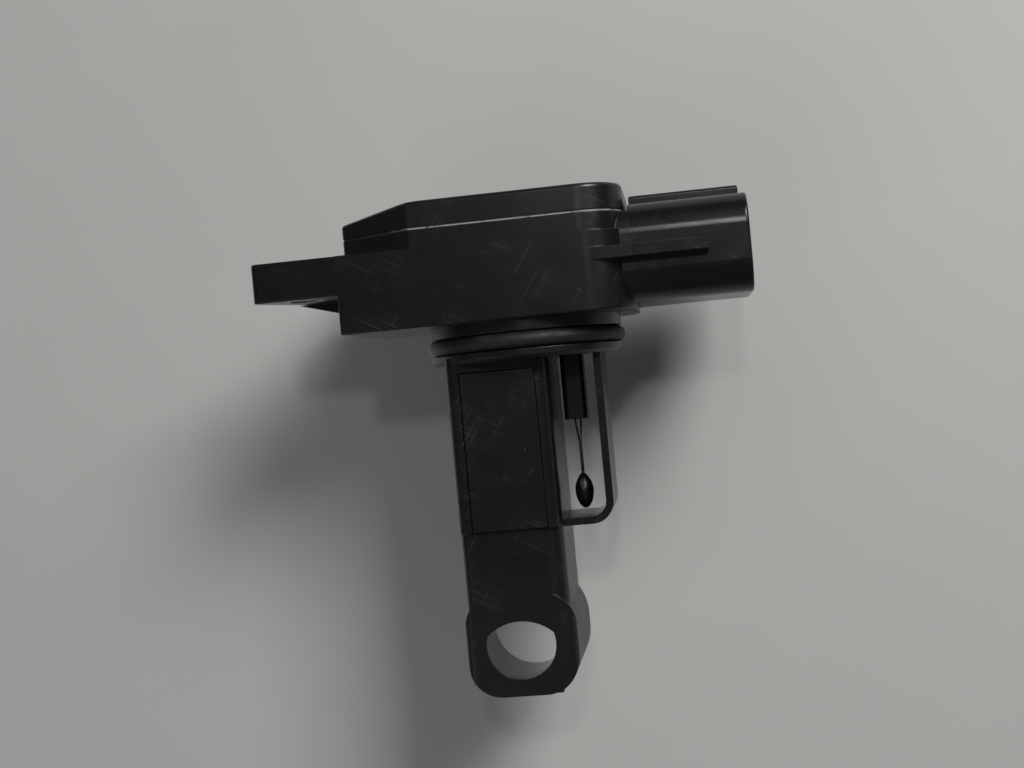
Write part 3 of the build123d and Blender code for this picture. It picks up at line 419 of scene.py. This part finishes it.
def moulded_polyester(name, colour, roughness, polished):
    """Glass-filled polyester out of a spark-eroded mould.

    To the eye it is a deep, cool black with a fine even grain, a broad dim highlight and
    narrow glints along its rounded edges. Handling leaves cloudy patches and hairlines,
    rubbed edges turn grey, and a few specks of dust sit on it. Where it is polished, the
    mould was finished smoother, and the highlight tightens to a band.
    """
    plastic = bpy.context.scene.sensor_plastic
    material, tree, place = new_material(name)
    split = add_node(tree, "ShaderNodeSeparateXYZ", {}, {"Vector": place})

    # Share of the polished finish: none on the head, all on the connector's shroud
    shroud = add_node(
        tree,
        "ShaderNodeMapRange",
        {
            "From Min": plastic.shroud_start - SHROUD_BLEND,
            "From Max": plastic.shroud_start,
        },
        {"Value": split.outputs["X"]},
    ).outputs[0]

    # What the air carries dulls the probe's tip
    soot = add_node(
        tree,
        "ShaderNodeMapRange",
        {"From Min": SOOT_STARTS, "From Max": SOOT_FULL, "To Max": SOOT_ROUGHNESS},
        {"Value": split.outputs["Z"]},
    ).outputs[0]

    # The shading turns round the edges as over a small radius
    rounded = add_node(
        tree,
        "ShaderNodeBevel",
        {"samples": 4, "Radius": plastic.edge_radius},
    ).outputs["Normal"]
    wear = rubbed_edges(tree, place, rounded)
    film = handling_film(tree, place)
    scratched = scratches(tree, place, film)
    speck = dust_specks(tree, place)

    # Colour: film, scratches, rubbed edges and dust over the plastic's own
    tone = add_node(
        tree,
        "ShaderNodeMix",
        {"data_type": "RGBA", 6: colour, 7: [c * FILM_TINT for c in colour[:3]] + [1.0]},
        {0: film},
    )
    for share, laid_over in (
        (scratched, plastic.rubbed_colour),
        (wear, plastic.rubbed_colour),
        (speck, plastic.dust_colour),
    ):
        tone = add_node(
            tree,
            "ShaderNodeMix",
            {"data_type": "RGBA", 7: laid_over},
            {0: share, 6: tone.outputs[2]},
        )

    # Roughness: the mould's finish, duller under soot, film, scratches and dust
    finish = add_node(
        tree,
        "ShaderNodeMapRange",
        {"To Min": roughness, "To Max": polished},
        {"Value": shroud},
    )
    gloss = add_node(
        tree,
        "ShaderNodeMath",
        {"operation": "ADD"},
        {0: finish.outputs[0], 1: soot},
    )
    for share, rougher in (
        (film, FILM_ROUGHNESS),
        (scratched, SCRATCH_ROUGHNESS),
        (speck, DUST_ROUGHNESS),
    ):
        gloss = add_node(
            tree,
            "ShaderNodeMath",
            {"operation": "MULTIPLY_ADD", 1: rougher, "use_clamp": True},
            {0: share, 2: gloss.outputs[0]},
        )

    # Relief: the grain, the slow waves of a wall that cooled, scratches and dust
    grain = add_node(
        tree,
        "ShaderNodeTexNoise",
        {"Scale": 1 / plastic.grain_size, "Detail": 1.5},
        {"Vector": place},
    )
    grain_height = add_node(
        tree,
        "ShaderNodeMapRange",
        {"To Min": GRAIN_HEIGHT, "To Max": POLISHED_GRAIN_HEIGHT},
        {"Value": shroud},
    )
    wave = add_node(
        tree,
        "ShaderNodeTexNoise",
        {"Scale": 1 / WALL_WAVE, "Detail": 1.0},
        {"Vector": place},
    )
    height = add_node(
        tree,
        "ShaderNodeMath",
        {"operation": "MULTIPLY"},
        {0: grain.outputs["Fac"], 1: grain_height.outputs[0]},
    )
    for share, microns in (
        (wave.outputs["Fac"], WALL_WAVE_HEIGHT),
        (scratched, -SCRATCH_DEPTH),
        (speck, SPECK_HEIGHT),
    ):
        height = add_node(
            tree,
            "ShaderNodeMath",
            {"operation": "MULTIPLY_ADD", 1: microns},
            {0: share, 2: height.outputs[0]},
        )
    relief = add_node(
        tree,
        "ShaderNodeBump",
        {"Strength": 1.0, "Distance": MICRON},
        {"Height": height.outputs[0], "Normal": rounded},
    )
    shader = add_node(
        tree,
        "ShaderNodeBsdfPrincipled",
        {"IOR": 1.55, "Specular IOR Level": 0.32},
        {
            "Base Color": tone.outputs[2],
            "Roughness": gloss.outputs[0],
            "Normal": relief.outputs["Normal"],
        },
    )
    add_node(tree, "ShaderNodeOutputMaterial", {}, {"Surface": shader.outputs[0]})
    return material


# ------------------------------------------------------------------ rubber and adhesive

RING_DUST = "#1c1b1a"
RING_FILM_PATCH = 2.5 * MM
FLASH_HALF_WIDTH = 0.09 * MM
FLASH_CREST = 0.03 * MM
FLASH_HEIGHT = 25.0  # Microns

# Dark grey of dirt stuck in the joint, also used as painted shade at the cover's sloping end
ADHESIVE_DIRT_AND_SHADE = "#1d1c1b"
ADHESIVE_LUMP = 1.8 * MM
ADHESIVE_LUMP_HEIGHT = 60 * MICRON

# Between these two places along the head, painted shade on the joint fades from full at the
# cover's sloping end to none
PAINTED_SHADE_FULL = -17 * MM
PAINTED_SHADE_NONE = -15 * MM


def nitrile_ring():
    """Nitrile rubber, moulded and lightly greased: black, smooth, with a soft sheen,
    a hair of flash round the ring where its mould closed, and a film of dust."""
    seals = bpy.context.scene.sensor_seals
    material, tree, place = new_material("nitrile_rubber_greased")
    split = add_node(tree, "ShaderNodeSeparateXYZ", {}, {"Vector": place})
    off_line = add_node(
        tree,
        "ShaderNodeMath",
        {"operation": "SUBTRACT", 1: seals.ring_middle},
        {0: split.outputs["Z"]},
    )
    off_size = add_node(
        tree, "ShaderNodeMath", {"operation": "ABSOLUTE"}, {0: off_line.outputs[0]}
    )
    flash = add_node(
        tree,
        "ShaderNodeMapRange",
        {"From Min": FLASH_HALF_WIDTH, "From Max": FLASH_CREST},
        {"Value": off_size.outputs[0]},
    )
    film = add_node(
        tree,
        "ShaderNodeTexNoise",
        {"Scale": 1 / RING_FILM_PATCH, "Detail": 4.0, "Roughness": 0.65},
        {"Vector": place},
    )
    grease = add_node(
        tree,
        "ShaderNodeMapRange",
        {"From Min": 0.35, "From Max": 0.7, "To Min": 0.5, "To Max": 0.72},
        {"Value": film.outputs["Fac"]},
    )
    colour = add_node(
        tree,
        "ShaderNodeMix",
        {"data_type": "RGBA", 6: seals.ring_colour, 7: linear(RING_DUST)},
        {0: film.outputs["Fac"]},
    )
    height = add_node(
        tree,
        "ShaderNodeMath",
        {"operation": "MULTIPLY_ADD", 1: FLASH_HEIGHT},
        {0: flash.outputs[0], 2: film.outputs["Fac"]},
    )
    relief = add_node(
        tree,
        "ShaderNodeBump",
        {"Strength": 1.0, "Distance": MICRON},
        {"Height": height.outputs[0]},
    )
    shader = add_node(
        tree,
        "ShaderNodeBsdfPrincipled",
        {"IOR": 1.52, "Specular IOR Level": 0.3},
        {
            "Base Color": colour.outputs[2],
            "Roughness": grease.outputs[0],
            "Normal": relief.outputs["Normal"],
        },
    )
    add_node(tree, "ShaderNodeOutputMaterial", {}, {"Surface": shader.outputs[0]})
    return material


def silicone_adhesive():
    """Cured silicone: matt grey, a little uneven where it was squeezed to the joint's
    edge, and darker in patches where dirt has stuck to it. Along the cover's sloping end it is
    painted darker still, as painted shade."""
    seals = bpy.context.scene.sensor_seals
    material, tree, place = new_material("silicone_adhesive_cured")
    lumps = add_node(
        tree,
        "ShaderNodeTexNoise",
        {"Scale": 1 / ADHESIVE_LUMP, "Detail": 3.0},
        {"Vector": place},
    )
    dirt = add_node(
        tree,
        "ShaderNodeMapRange",
        {"From Min": 0.36, "From Max": 0.52, "To Min": 0.25},
        {"Value": lumps.outputs["Fac"]},
    )
    split = add_node(tree, "ShaderNodeSeparateXYZ", {}, {"Vector": place})
    # Painted shade: the joint darkens towards the cover's sloping end, which faces away from
    # the light
    unshaded = add_node(
        tree,
        "ShaderNodeMapRange",
        {"From Min": PAINTED_SHADE_FULL, "From Max": PAINTED_SHADE_NONE, "To Min": 0.08},
        {"Value": split.outputs["X"]},
    )
    shown = add_node(
        tree,
        "ShaderNodeMath",
        {"operation": "MULTIPLY"},
        {0: dirt.outputs[0], 1: unshaded.outputs[0]},
    )
    colour = add_node(
        tree,
        "ShaderNodeMix",
        {"data_type": "RGBA", 6: linear(ADHESIVE_DIRT_AND_SHADE), 7: seals.adhesive_colour},
        {0: shown.outputs[0]},
    )
    relief = add_node(
        tree,
        "ShaderNodeBump",
        {"Strength": 1.0, "Distance": ADHESIVE_LUMP_HEIGHT},
        {"Height": lumps.outputs["Fac"]},
    )
    shader = add_node(
        tree,
        "ShaderNodeBsdfPrincipled",
        {"IOR": 1.41, "Roughness": 0.55},
        {"Base Color": colour.outputs[2], "Normal": relief.outputs["Normal"]},
    )
    add_node(tree, "ShaderNodeOutputMaterial", {}, {"Surface": shader.outputs[0]})
    return material


# ------------------------------------------------------------------ metals

DULL_PATCH = 1.5 * MM
DULL_TINT = 0.62
DULL_ROUGHNESS = 0.16
STREAK_HEIGHT = 2 * MICRON


def drawn_metal(name, colour, roughness, stretch, streak_size=0.05 * MM):
    """Drawn, rolled or plated metal: fine streaks along the way it was worked, patches
    where its surface has dulled, and a slight darkening in them.

    stretch holds how much longer the streaks are along each axis.
    """
    material, tree, place = new_material(name)
    along = add_node(
        tree,
        "ShaderNodeMapping",
        {"vector_type": "TEXTURE", "Scale": [streak_size * longer for longer in stretch]},
        {"Vector": place},
    )
    streaks = add_node(
        tree,
        "ShaderNodeTexNoise",
        {"Scale": 1.0, "Detail": 2.0},
        {"Vector": along.outputs[0]},
    )
    patches = add_node(
        tree,
        "ShaderNodeTexNoise",
        {"Scale": 1 / DULL_PATCH, "Detail": 4.0, "Roughness": 0.6},
        {"Vector": place},
    )
    dull = add_node(
        tree,
        "ShaderNodeMapRange",
        {"From Min": 0.4, "From Max": 0.7},
        {"Value": patches.outputs["Fac"]},
    )
    tone = add_node(
        tree,
        "ShaderNodeMix",
        {"data_type": "RGBA", 6: colour, 7: [c * DULL_TINT for c in colour[:3]] + [1.0]},
        {0: dull.outputs[0]},
    )
    gloss = add_node(
        tree,
        "ShaderNodeMapRange",
        {
            "From Min": 0.3,
            "From Max": 0.7,
            "To Min": roughness - 0.07,
            "To Max": roughness + 0.09,
        },
        {"Value": streaks.outputs["Fac"]},
    )
    tired = add_node(
        tree,
        "ShaderNodeMath",
        {"operation": "MULTIPLY_ADD", 1: DULL_ROUGHNESS, "use_clamp": True},
        {0: dull.outputs[0], 2: gloss.outputs[0]},
    )
    relief = add_node(
        tree,
        "ShaderNodeBump",
        {"Strength": 1.0, "Distance": STREAK_HEIGHT},
        {"Height": streaks.outputs["Fac"]},
    )
    shader = add_node(
        tree,
        "ShaderNodeBsdfPrincipled",
        {"Metallic": 1.0},
        {
            "Base Color": tone.outputs[2],
            "Roughness": tired.outputs[0],
            "Normal": relief.outputs["Normal"],
        },
    )
    add_node(tree, "ShaderNodeOutputMaterial", {}, {"Surface": shader.outputs[0]})
    return material


# ------------------------------------------------------------------ small bodies

FILLER_GRAIN = 0.25 * MM

ALUMINA_SPECKLE = "#c4c1b7"
ALUMINA_GRAIN = 0.15 * MM
TRACK_PITCH = 2 * MM
TRACK_HEIGHT = 12 * MICRON


def cast_body(name, colour, roughness, lump_size, lump_height, mottle, ior=1.55):
    """A dipped, fired or moulded small body: glossy to matt, softly lumpy as it set, and
    mottled by its filler."""
    material, tree, place = new_material(name)
    lumps = add_node(
        tree,
        "ShaderNodeTexNoise",
        {"Scale": 1 / lump_size, "Detail": 1.0},
        {"Vector": place},
    )
    filler = add_node(
        tree,
        "ShaderNodeTexNoise",
        {"Scale": 1 / FILLER_GRAIN, "Detail": 3.0},
        {"Vector": place},
    )
    tone = add_node(
        tree,
        "ShaderNodeMix",
        {
            "data_type": "RGBA",
            6: [c * (1 - mottle) for c in colour[:3]] + [1.0],
            7: [min(c * (1 + mottle), 1.0) for c in colour[:3]] + [1.0],
        },
        {0: filler.outputs["Fac"]},
    )
    gloss = add_node(
        tree,
        "ShaderNodeMapRange",
        {
            "From Min": 0.3,
            "From Max": 0.7,
            "To Min": roughness - 0.05,
            "To Max": roughness + 0.08,
        },
        {"Value": lumps.outputs["Fac"]},
    )
    relief = add_node(
        tree,
        "ShaderNodeBump",
        {"Strength": 1.0, "Distance": lump_height},
        {"Height": lumps.outputs["Fac"]},
    )
    shader = add_node(
        tree,
        "ShaderNodeBsdfPrincipled",
        {"IOR": ior},
        {
            "Base Color": tone.outputs[2],
            "Roughness": gloss.outputs[0],
            "Normal": relief.outputs["Normal"],
        },
    )
    add_node(tree, "ShaderNodeOutputMaterial", {}, {"Surface": shader.outputs[0]})
    return material


def printed_alumina():
    """White fired alumina with silver tracks printed on it: matt and faintly speckled,
    the tracks greyer, brighter and a little raised."""
    sensing = bpy.context.scene.sensor_sensing
    material, tree, place = new_material("alumina_with_silver_tracks")
    pads = add_node(
        tree,
        "ShaderNodeTexBrick",
        {
            "Scale": 1 / TRACK_PITCH,
            "Mortar Size": 0.09,
            "Mortar Smooth": 0.0,
            "Brick Width": 1.9,
            "Row Height": 0.95,
            "offset": 0.37,
            "Color1": (0, 0, 0, 1),
            "Color2": (0, 0, 0, 1),
            "Mortar": (1, 1, 1, 1),
        },
        {"Vector": place},
    )
    speckle = add_node(
        tree,
        "ShaderNodeTexNoise",
        {"Scale": 1 / ALUMINA_GRAIN, "Detail": 2.0},
        {"Vector": place},
    )
    ground = add_node(
        tree,
        "ShaderNodeMix",
        {"data_type": "RGBA", 6: sensing.board_colour, 7: linear(ALUMINA_SPECKLE)},
        {0: speckle.outputs["Fac"]},
    )
    printed = add_node(
        tree,
        "ShaderNodeMix",
        {"data_type": "RGBA", 7: sensing.track_colour},
        {0: pads.outputs["Fac"], 6: ground.outputs[2]},
    )
    gloss = add_node(
        tree,
        "ShaderNodeMapRange",
        {"To Min": 0.62, "To Max": 0.34},
        {"Value": pads.outputs["Fac"]},
    )
    relief = add_node(
        tree,
        "ShaderNodeBump",
        {"Strength": 1.0, "Distance": TRACK_HEIGHT},
        {"Height": pads.outputs["Fac"]},
    )
    shader = add_node(
        tree,
        "ShaderNodeBsdfPrincipled",
        {"IOR": 1.76},
        {
            "Base Color": printed.outputs[2],
            "Roughness": gloss.outputs[0],
            "Metallic": pads.outputs["Fac"],
            "Normal": relief.outputs["Normal"],
        },
    )
    add_node(tree, "ShaderNodeOutputMaterial", {}, {"Surface": shader.outputs[0]})
    return material


# ------------------------------------------------------------------ dipped bead

BEAD_SEGMENTS = 48
BEAD_RINGS = 32
RING_REACH = 0.004 * MM  # How far from a ring's height its points are looked for

# The coat starts from this ring, counted from the top, and goes up in steps, each
# slimmer than the last
COAT_RING = 3
COAT_STEPS = 3
COAT_SLIM = 0.95

BALL_DRAW = 0.5  # The power that leaves the ball's outline as it is


def select_between(piece, low, high):
    """Select a mesh's points between two heights, in edit mode."""
    shape = bmesh.from_edit_mesh(piece.data)
    for point in shape.verts:
        point.select_set(low < (piece.matrix_world @ point.co).z < high)
    shape.select_flush_mode()
    bmesh.update_edit_mesh(piece.data)


def dipped_bead(sensing):
    """A ball drawn out to a pointed bead, with its coat running up the two leads."""
    lowest, highest = (Vector(corner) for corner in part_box("air_temp_bead"))
    middle = (lowest + highest) / 2
    half = (highest.z - lowest.z) / 2
    radius = (highest.x - lowest.x) / 2
    bpy.ops.object.select_all(action="DESELECT")
    bpy.ops.mesh.primitive_uv_sphere_add(
        segments=BEAD_SEGMENTS, ring_count=BEAD_RINGS, radius=radius, location=middle
    )
    bead = bpy.context.active_object
    bead.name = "dipped_bead"
    bpy.ops.object.mode_set(mode="EDIT")
    bpy.ops.mesh.select_mode(type="VERT")
    bpy.ops.transform.resize(value=(1, 1, half / radius), center_override=middle)

    # Each ring is drawn in from the ball's outline to the bead's
    for ring in range(1, BEAD_RINGS):
        share = math.cos(math.pi * ring / BEAD_RINGS)
        height = middle.z + half * share
        draw = sensing.bead_shoulder if share > 0 else sensing.bead_foot
        size = (1 - share * share) ** (draw - BALL_DRAW)
        select_between(bead, height - RING_REACH, height + RING_REACH)
        bpy.ops.transform.resize(
            value=(size, size, 1), center_override=(middle.x, middle.y, height)
        )

    # The top is carried up round the leads, a little slimmer at each step
    cap = middle.z + half * math.cos(math.pi * (COAT_RING + 0.5) / BEAD_RINGS)
    select_between(bead, cap, highest.z + sensing.bead_coat)
    for _ in range(COAT_STEPS):
        bpy.ops.mesh.extrude_region_move(
            TRANSFORM_OT_translate={"value": (0, 0, sensing.bead_coat / COAT_STEPS)}
        )
        bpy.ops.transform.resize(
            value=(COAT_SLIM, COAT_SLIM, 1), center_override=(middle.x, middle.y, highest.z)
        )
    bpy.ops.object.mode_set(mode="OBJECT")

    # The dip sags a little out of round as it sets
    lumps = bpy.data.textures.new("dip_lumps", "CLOUDS")
    lumps.noise_scale = radius
    sag = bead.modifiers.new("sag", "DISPLACE")
    sag.texture = lumps
    sag.texture_coords = "GLOBAL"
    sag.strength = sensing.bead_lumps
    bpy.ops.object.modifier_apply(modifier=sag.name)
    bpy.ops.object.transform_apply(location=True, rotation=True, scale=True)
    bpy.ops.object.shade_smooth()
    return bead


# ------------------------------------------------------------------ operators

class SENSOR_OT_finish_housing(bpy.types.Operator):
    """Give the housing and the element carrier their moulded black finish"""

    bl_idname = "sensor.finish_housing"
    bl_label = "Finish the housing"

    def execute(self, context):
        plastic = context.scene.sensor_plastic
        housing = moulded_polyester(
            "polyester_black_moulded",
            list(plastic.housing_colour),
            plastic.head_roughness,
            plastic.shroud_roughness,
        )
        carrier = moulded_polyester(
            "polyester_black_carrier",
            list(plastic.carrier_colour),
            plastic.head_roughness,
            plastic.head_roughness,
        )
        dress(housing, ["sensor_housing"])
        dress(carrier, ["element_carrier"])
        return {"FINISHED"}


class SENSOR_OT_finish_covers(bpy.types.Operator):
    """Give the head cover and the bypass cover their smoother black finish"""

    bl_idname = "sensor.finish_covers"
    bl_label = "Finish the covers"

    def execute(self, context):
        plastic = context.scene.sensor_plastic
        covers = moulded_polyester(
            "polyester_black_cover",
            list(plastic.cover_colour),
            plastic.cover_roughness,
            plastic.cover_roughness,
        )
        dress(covers, ["head_cover", "bypass_cover"])
        return {"FINISHED"}


class SENSOR_OT_finish_seals(bpy.types.Operator):
    """Give the adhesive its cured silicone and the O-ring its greased rubber"""

    bl_idname = "sensor.finish_seals"
    bl_label = "Finish the seals"

    def execute(self, context):
        dress(silicone_adhesive(), ["cover_seal", "board_adhesive"])
        dress(nitrile_ring(), ["o_ring"])
        return {"FINISHED"}


class SENSOR_OT_finish_metal(bpy.types.Operator):
    """Give bushes, terminals, pins, leads and ribbons their metal finishes"""

    bl_idname = "sensor.finish_metal"
    bl_label = "Finish the metal pieces"

    def execute(self, context):
        metal = context.scene.sensor_metal
        bush = drawn_metal(
            "steel_zinc_plated",
            list(metal.bush_colour),
            roughness=0.38,
            stretch=(1, 1, 30),
            streak_size=0.12 * MM,
        )
        tin = drawn_metal(
            "brass_tin_plated",
            list(metal.tin_colour),
            roughness=0.33,
            stretch=(40, 1, 1),
            streak_size=0.06 * MM,
        )
        pin = drawn_metal(
            "wire_steel_bright", list(metal.pin_colour), roughness=0.3, stretch=(1, 1, 40)
        )
        lead = drawn_metal(
            "wire_tinned_dull", list(metal.lead_colour), roughness=0.42, stretch=(1, 1, 20)
        )
        strip = drawn_metal(
            "aluminium_ribbon", list(metal.ribbon_colour), roughness=0.28, stretch=(30, 1, 30)
        )
        dress(bush, ["left_bush", "rear_bush"])
        dress(tin, nodes_called("terminal_"))
        dress(pin, nodes_called("support_pin_", "bead_pin_"))
        dress(lead, nodes_called("bead_lead_"))
        dress(strip, nodes_called("ribbon_"))
        return {"FINISHED"}


class SENSOR_OT_dip_bead(bpy.types.Operator):
    """Shape the temperature bead as a sagging drop of epoxy on its two leads"""

    bl_idname = "sensor.dip_bead"
    bl_label = "Dip the bead"

    def execute(self, context):
        sensing = context.scene.sensor_sensing
        bead = dipped_bead(sensing)
        epoxy = cast_body(
            "epoxy_dipped",
            list(sensing.bead_colour),
            roughness=0.3,
            lump_size=1.1 * MM,
            lump_height=40 * MICRON,
            mottle=0.35,
        )
        bead.data.materials.append(epoxy)
        dress(epoxy, ["air_temp_bead"])
        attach(bead, "root")
        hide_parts("air_temp_bead")
        return {"FINISHED"}


class SENSOR_OT_finish_sensing(bpy.types.Operator):
    """Give the elements and the circuit their glass, epoxy and ceramic"""

    bl_idname = "sensor.finish_sensing"
    bl_label = "Finish the sensing pieces"

    def execute(self, context):
        sensing = context.scene.sensor_sensing
        glass = cast_body(
            "glass_coating",
            list(sensing.glass_colour),
            roughness=0.15,
            lump_size=0.5 * MM,
            lump_height=12 * MICRON,
            mottle=0.1,
            ior=1.5,
        )
        chip = cast_body(
            "epoxy_package",
            list(sensing.chip_colour),
            roughness=0.55,
            lump_size=0.2 * MM,
            lump_height=6 * MICRON,
            mottle=0.25,
        )
        ceramic = cast_body(
            "titanate_fired",
            list(sensing.capacitor_colour),
            roughness=0.45,
            lump_size=0.4 * MM,
            lump_height=8 * MICRON,
            mottle=0.15,
        )
        dress(glass, ["hot_element", "cold_element"])
        dress(chip, ["control_chip"] + nodes_called("resistor_"))
        dress(ceramic, nodes_called("capacitor_"))
        dress(printed_alumina(), ["circuit_board"])
        return {"FINISHED"}


# ------------------------------------------------------------------ stage

BENCH_PATCH = 60 * MM
BENCH_MOTTLE = 0.06
ROOM_COLOUR = "#f6f8fc"
FILM_WIDTH = 36.0  # Millimetres, as the lens is
NEAREST_SEEN = 5 * MM


def camera_matrix(stage):
    """Camera looking along +Y, turned about the probe's axis and rolled about its view."""
    ahead = Vector((-math.sin(stage.turn), math.cos(stage.turn), 0))
    level = Vector((math.cos(stage.turn), math.sin(stage.turn), 0))
    up = Vector((0, 0, 1))
    right = level * math.cos(stage.roll) - up * math.sin(stage.roll)
    rise = level * math.sin(stage.roll) + up * math.cos(stage.roll)
    matrix = Matrix((right, rise, -ahead)).transposed().to_4x4()
    matrix.translation = right * stage.side + rise * stage.rise - ahead * stage.distance
    return matrix


def bench_paint(stage):
    """Plain matt bench, faintly uneven. It is seen from the front only, so that the
    sensor's back can be looked at through it."""
    material, tree, place = new_material("bench_matt")
    uneven = add_node(
        tree,
        "ShaderNodeTexNoise",
        {"Scale": 1 / BENCH_PATCH, "Detail": 3.0},
        {"Vector": place},
    )
    colour = add_node(
        tree,
        "ShaderNodeMix",
        {
            "data_type": "RGBA",
            6: [c * (1 - BENCH_MOTTLE) for c in stage.bench_colour[:3]] + [1.0],
            7: [c * (1 + BENCH_MOTTLE) for c in stage.bench_colour[:3]] + [1.0],
        },
        {0: uneven.outputs["Fac"]},
    )
    paint = add_node(
        tree,
        "ShaderNodeBsdfPrincipled",
        {"Roughness": 0.6, "Specular IOR Level": 0.3},
        {"Base Color": colour.outputs[2]},
    )
    behind = add_node(tree, "ShaderNodeNewGeometry").outputs["Backfacing"]
    seen = add_node(tree, "ShaderNodeLightPath").outputs["Is Camera Ray"]
    hidden = add_node(
        tree, "ShaderNodeMath", {"operation": "MULTIPLY"}, {0: behind, 1: seen}
    )
    clear = add_node(tree, "ShaderNodeBsdfTransparent")
    shader = add_node(
        tree,
        "ShaderNodeMixShader",
        {},
        {0: hidden.outputs[0], 1: paint.outputs[0], 2: clear.outputs[0]},
    )
    add_node(tree, "ShaderNodeOutputMaterial", {}, {"Surface": shader.outputs[0]})
    return material


def room_light(stage):
    """An even, dim light from all round."""
    world = bpy.data.worlds.new("room")
    world.use_nodes = True
    tree = world.node_tree
    tree.nodes.clear()
    light = add_node(
        tree,
        "ShaderNodeBackground",
        {"Color": linear(ROOM_COLOUR), "Strength": stage.ambient},
    )
    add_node(tree, "ShaderNodeOutputWorld", {}, {"Surface": light.outputs[0]})
    bpy.context.scene.world = world


class SENSOR_OT_set_stage(bpy.types.Operator):
    """Lay the sensor on its bench, and set the lamps and the camera"""

    bl_idname = "sensor.set_stage"
    bl_label = "Set the stage"

    def execute(self, context):
        stage = context.scene.sensor_stage
        bpy.ops.object.select_all(action="DESELECT")
        bpy.ops.mesh.primitive_plane_add(
            size=stage.bench_size,
            location=(0, stage.bench_place, 0),
            rotation=(math.radians(90), 0, 0),
        )
        bench = context.active_object
        bench.name = "bench"
        bpy.ops.object.transform_apply(location=True, rotation=True, scale=True)
        bench.data.materials.append(bench_paint(stage))

        # The back lamp stands behind the bench and shines through it
        bench.visible_shadow = False

        for name, way, side, share in LAMPS:
            away = Vector(way).normalized()
            bpy.ops.object.light_add(type="AREA", location=away * stage.lamp_distance)
            lamp = context.active_object
            lamp.name = name
            lamp.rotation_euler = away.to_track_quat("Z", "Y").to_euler()
            lamp.data.size = side
            lamp.data.energy = stage.lamp_power * share

        room_light(stage)
        bpy.ops.object.camera_add()
        camera = context.active_object
        camera.name = "camera"
        camera.data.lens = stage.lens
        camera.data.sensor_width = FILM_WIDTH
        camera.data.clip_start = NEAREST_SEEN
        camera.matrix_world = camera_matrix(stage)
        context.scene.camera = camera
        context.scene.view_settings.view_transform = "Standard"
        return {"FINISHED"}


# ------------------------------------------------------------------ panel

SETTINGS = {
    "sensor_plastic": PlasticSettings,
    "sensor_seals": SealSettings,
    "sensor_metal": MetalSettings,
    "sensor_sensing": SensingSettings,
    "sensor_stage": StageSettings,
}
STEPS = (
    SENSOR_OT_finish_housing,
    SENSOR_OT_finish_covers,
    SENSOR_OT_finish_seals,
    SENSOR_OT_finish_metal,
    SENSOR_OT_dip_bead,
    SENSOR_OT_finish_sensing,
    SENSOR_OT_set_stage,
)


class SENSOR_PT_panel(bpy.types.Panel):
    """Settings and steps for the airflow sensor"""

    bl_label = "Airflow sensor"
    bl_idname = "SENSOR_PT_panel"
    bl_space_type = "VIEW_3D"
    bl_region_type = "UI"
    bl_category = "Airflow sensor"

    def draw(self, context):
        for holder in SETTINGS:
            box = self.layout.box()
            group = getattr(context.scene, holder)
            for name in group.__annotations__:
                box.prop(group, name)
        for step in STEPS:
            self.layout.operator(step.bl_idname)


def register():
    for holder, group in SETTINGS.items():
        bpy.utils.register_class(group)
        setattr(bpy.types.Scene, holder, bpy.props.PointerProperty(type=group))
    for step in (*STEPS, SENSOR_PT_panel):
        bpy.utils.register_class(step)


def unregister():
    for step in (SENSOR_PT_panel, *reversed(STEPS)):
        bpy.utils.unregister_class(step)
    for holder, group in reversed(SETTINGS.items()):
        delattr(bpy.types.Scene, holder)
        bpy.utils.unregister_class(group)


def main():
    register()
    bpy.ops.sensor.finish_housing()
    bpy.ops.sensor.finish_covers()
    bpy.ops.sensor.finish_seals()
    bpy.ops.sensor.finish_metal()
    bpy.ops.sensor.dip_bead()
    bpy.ops.sensor.finish_sensing()
    bpy.ops.sensor.set_stage()


if __name__ == "__main__":
    main()
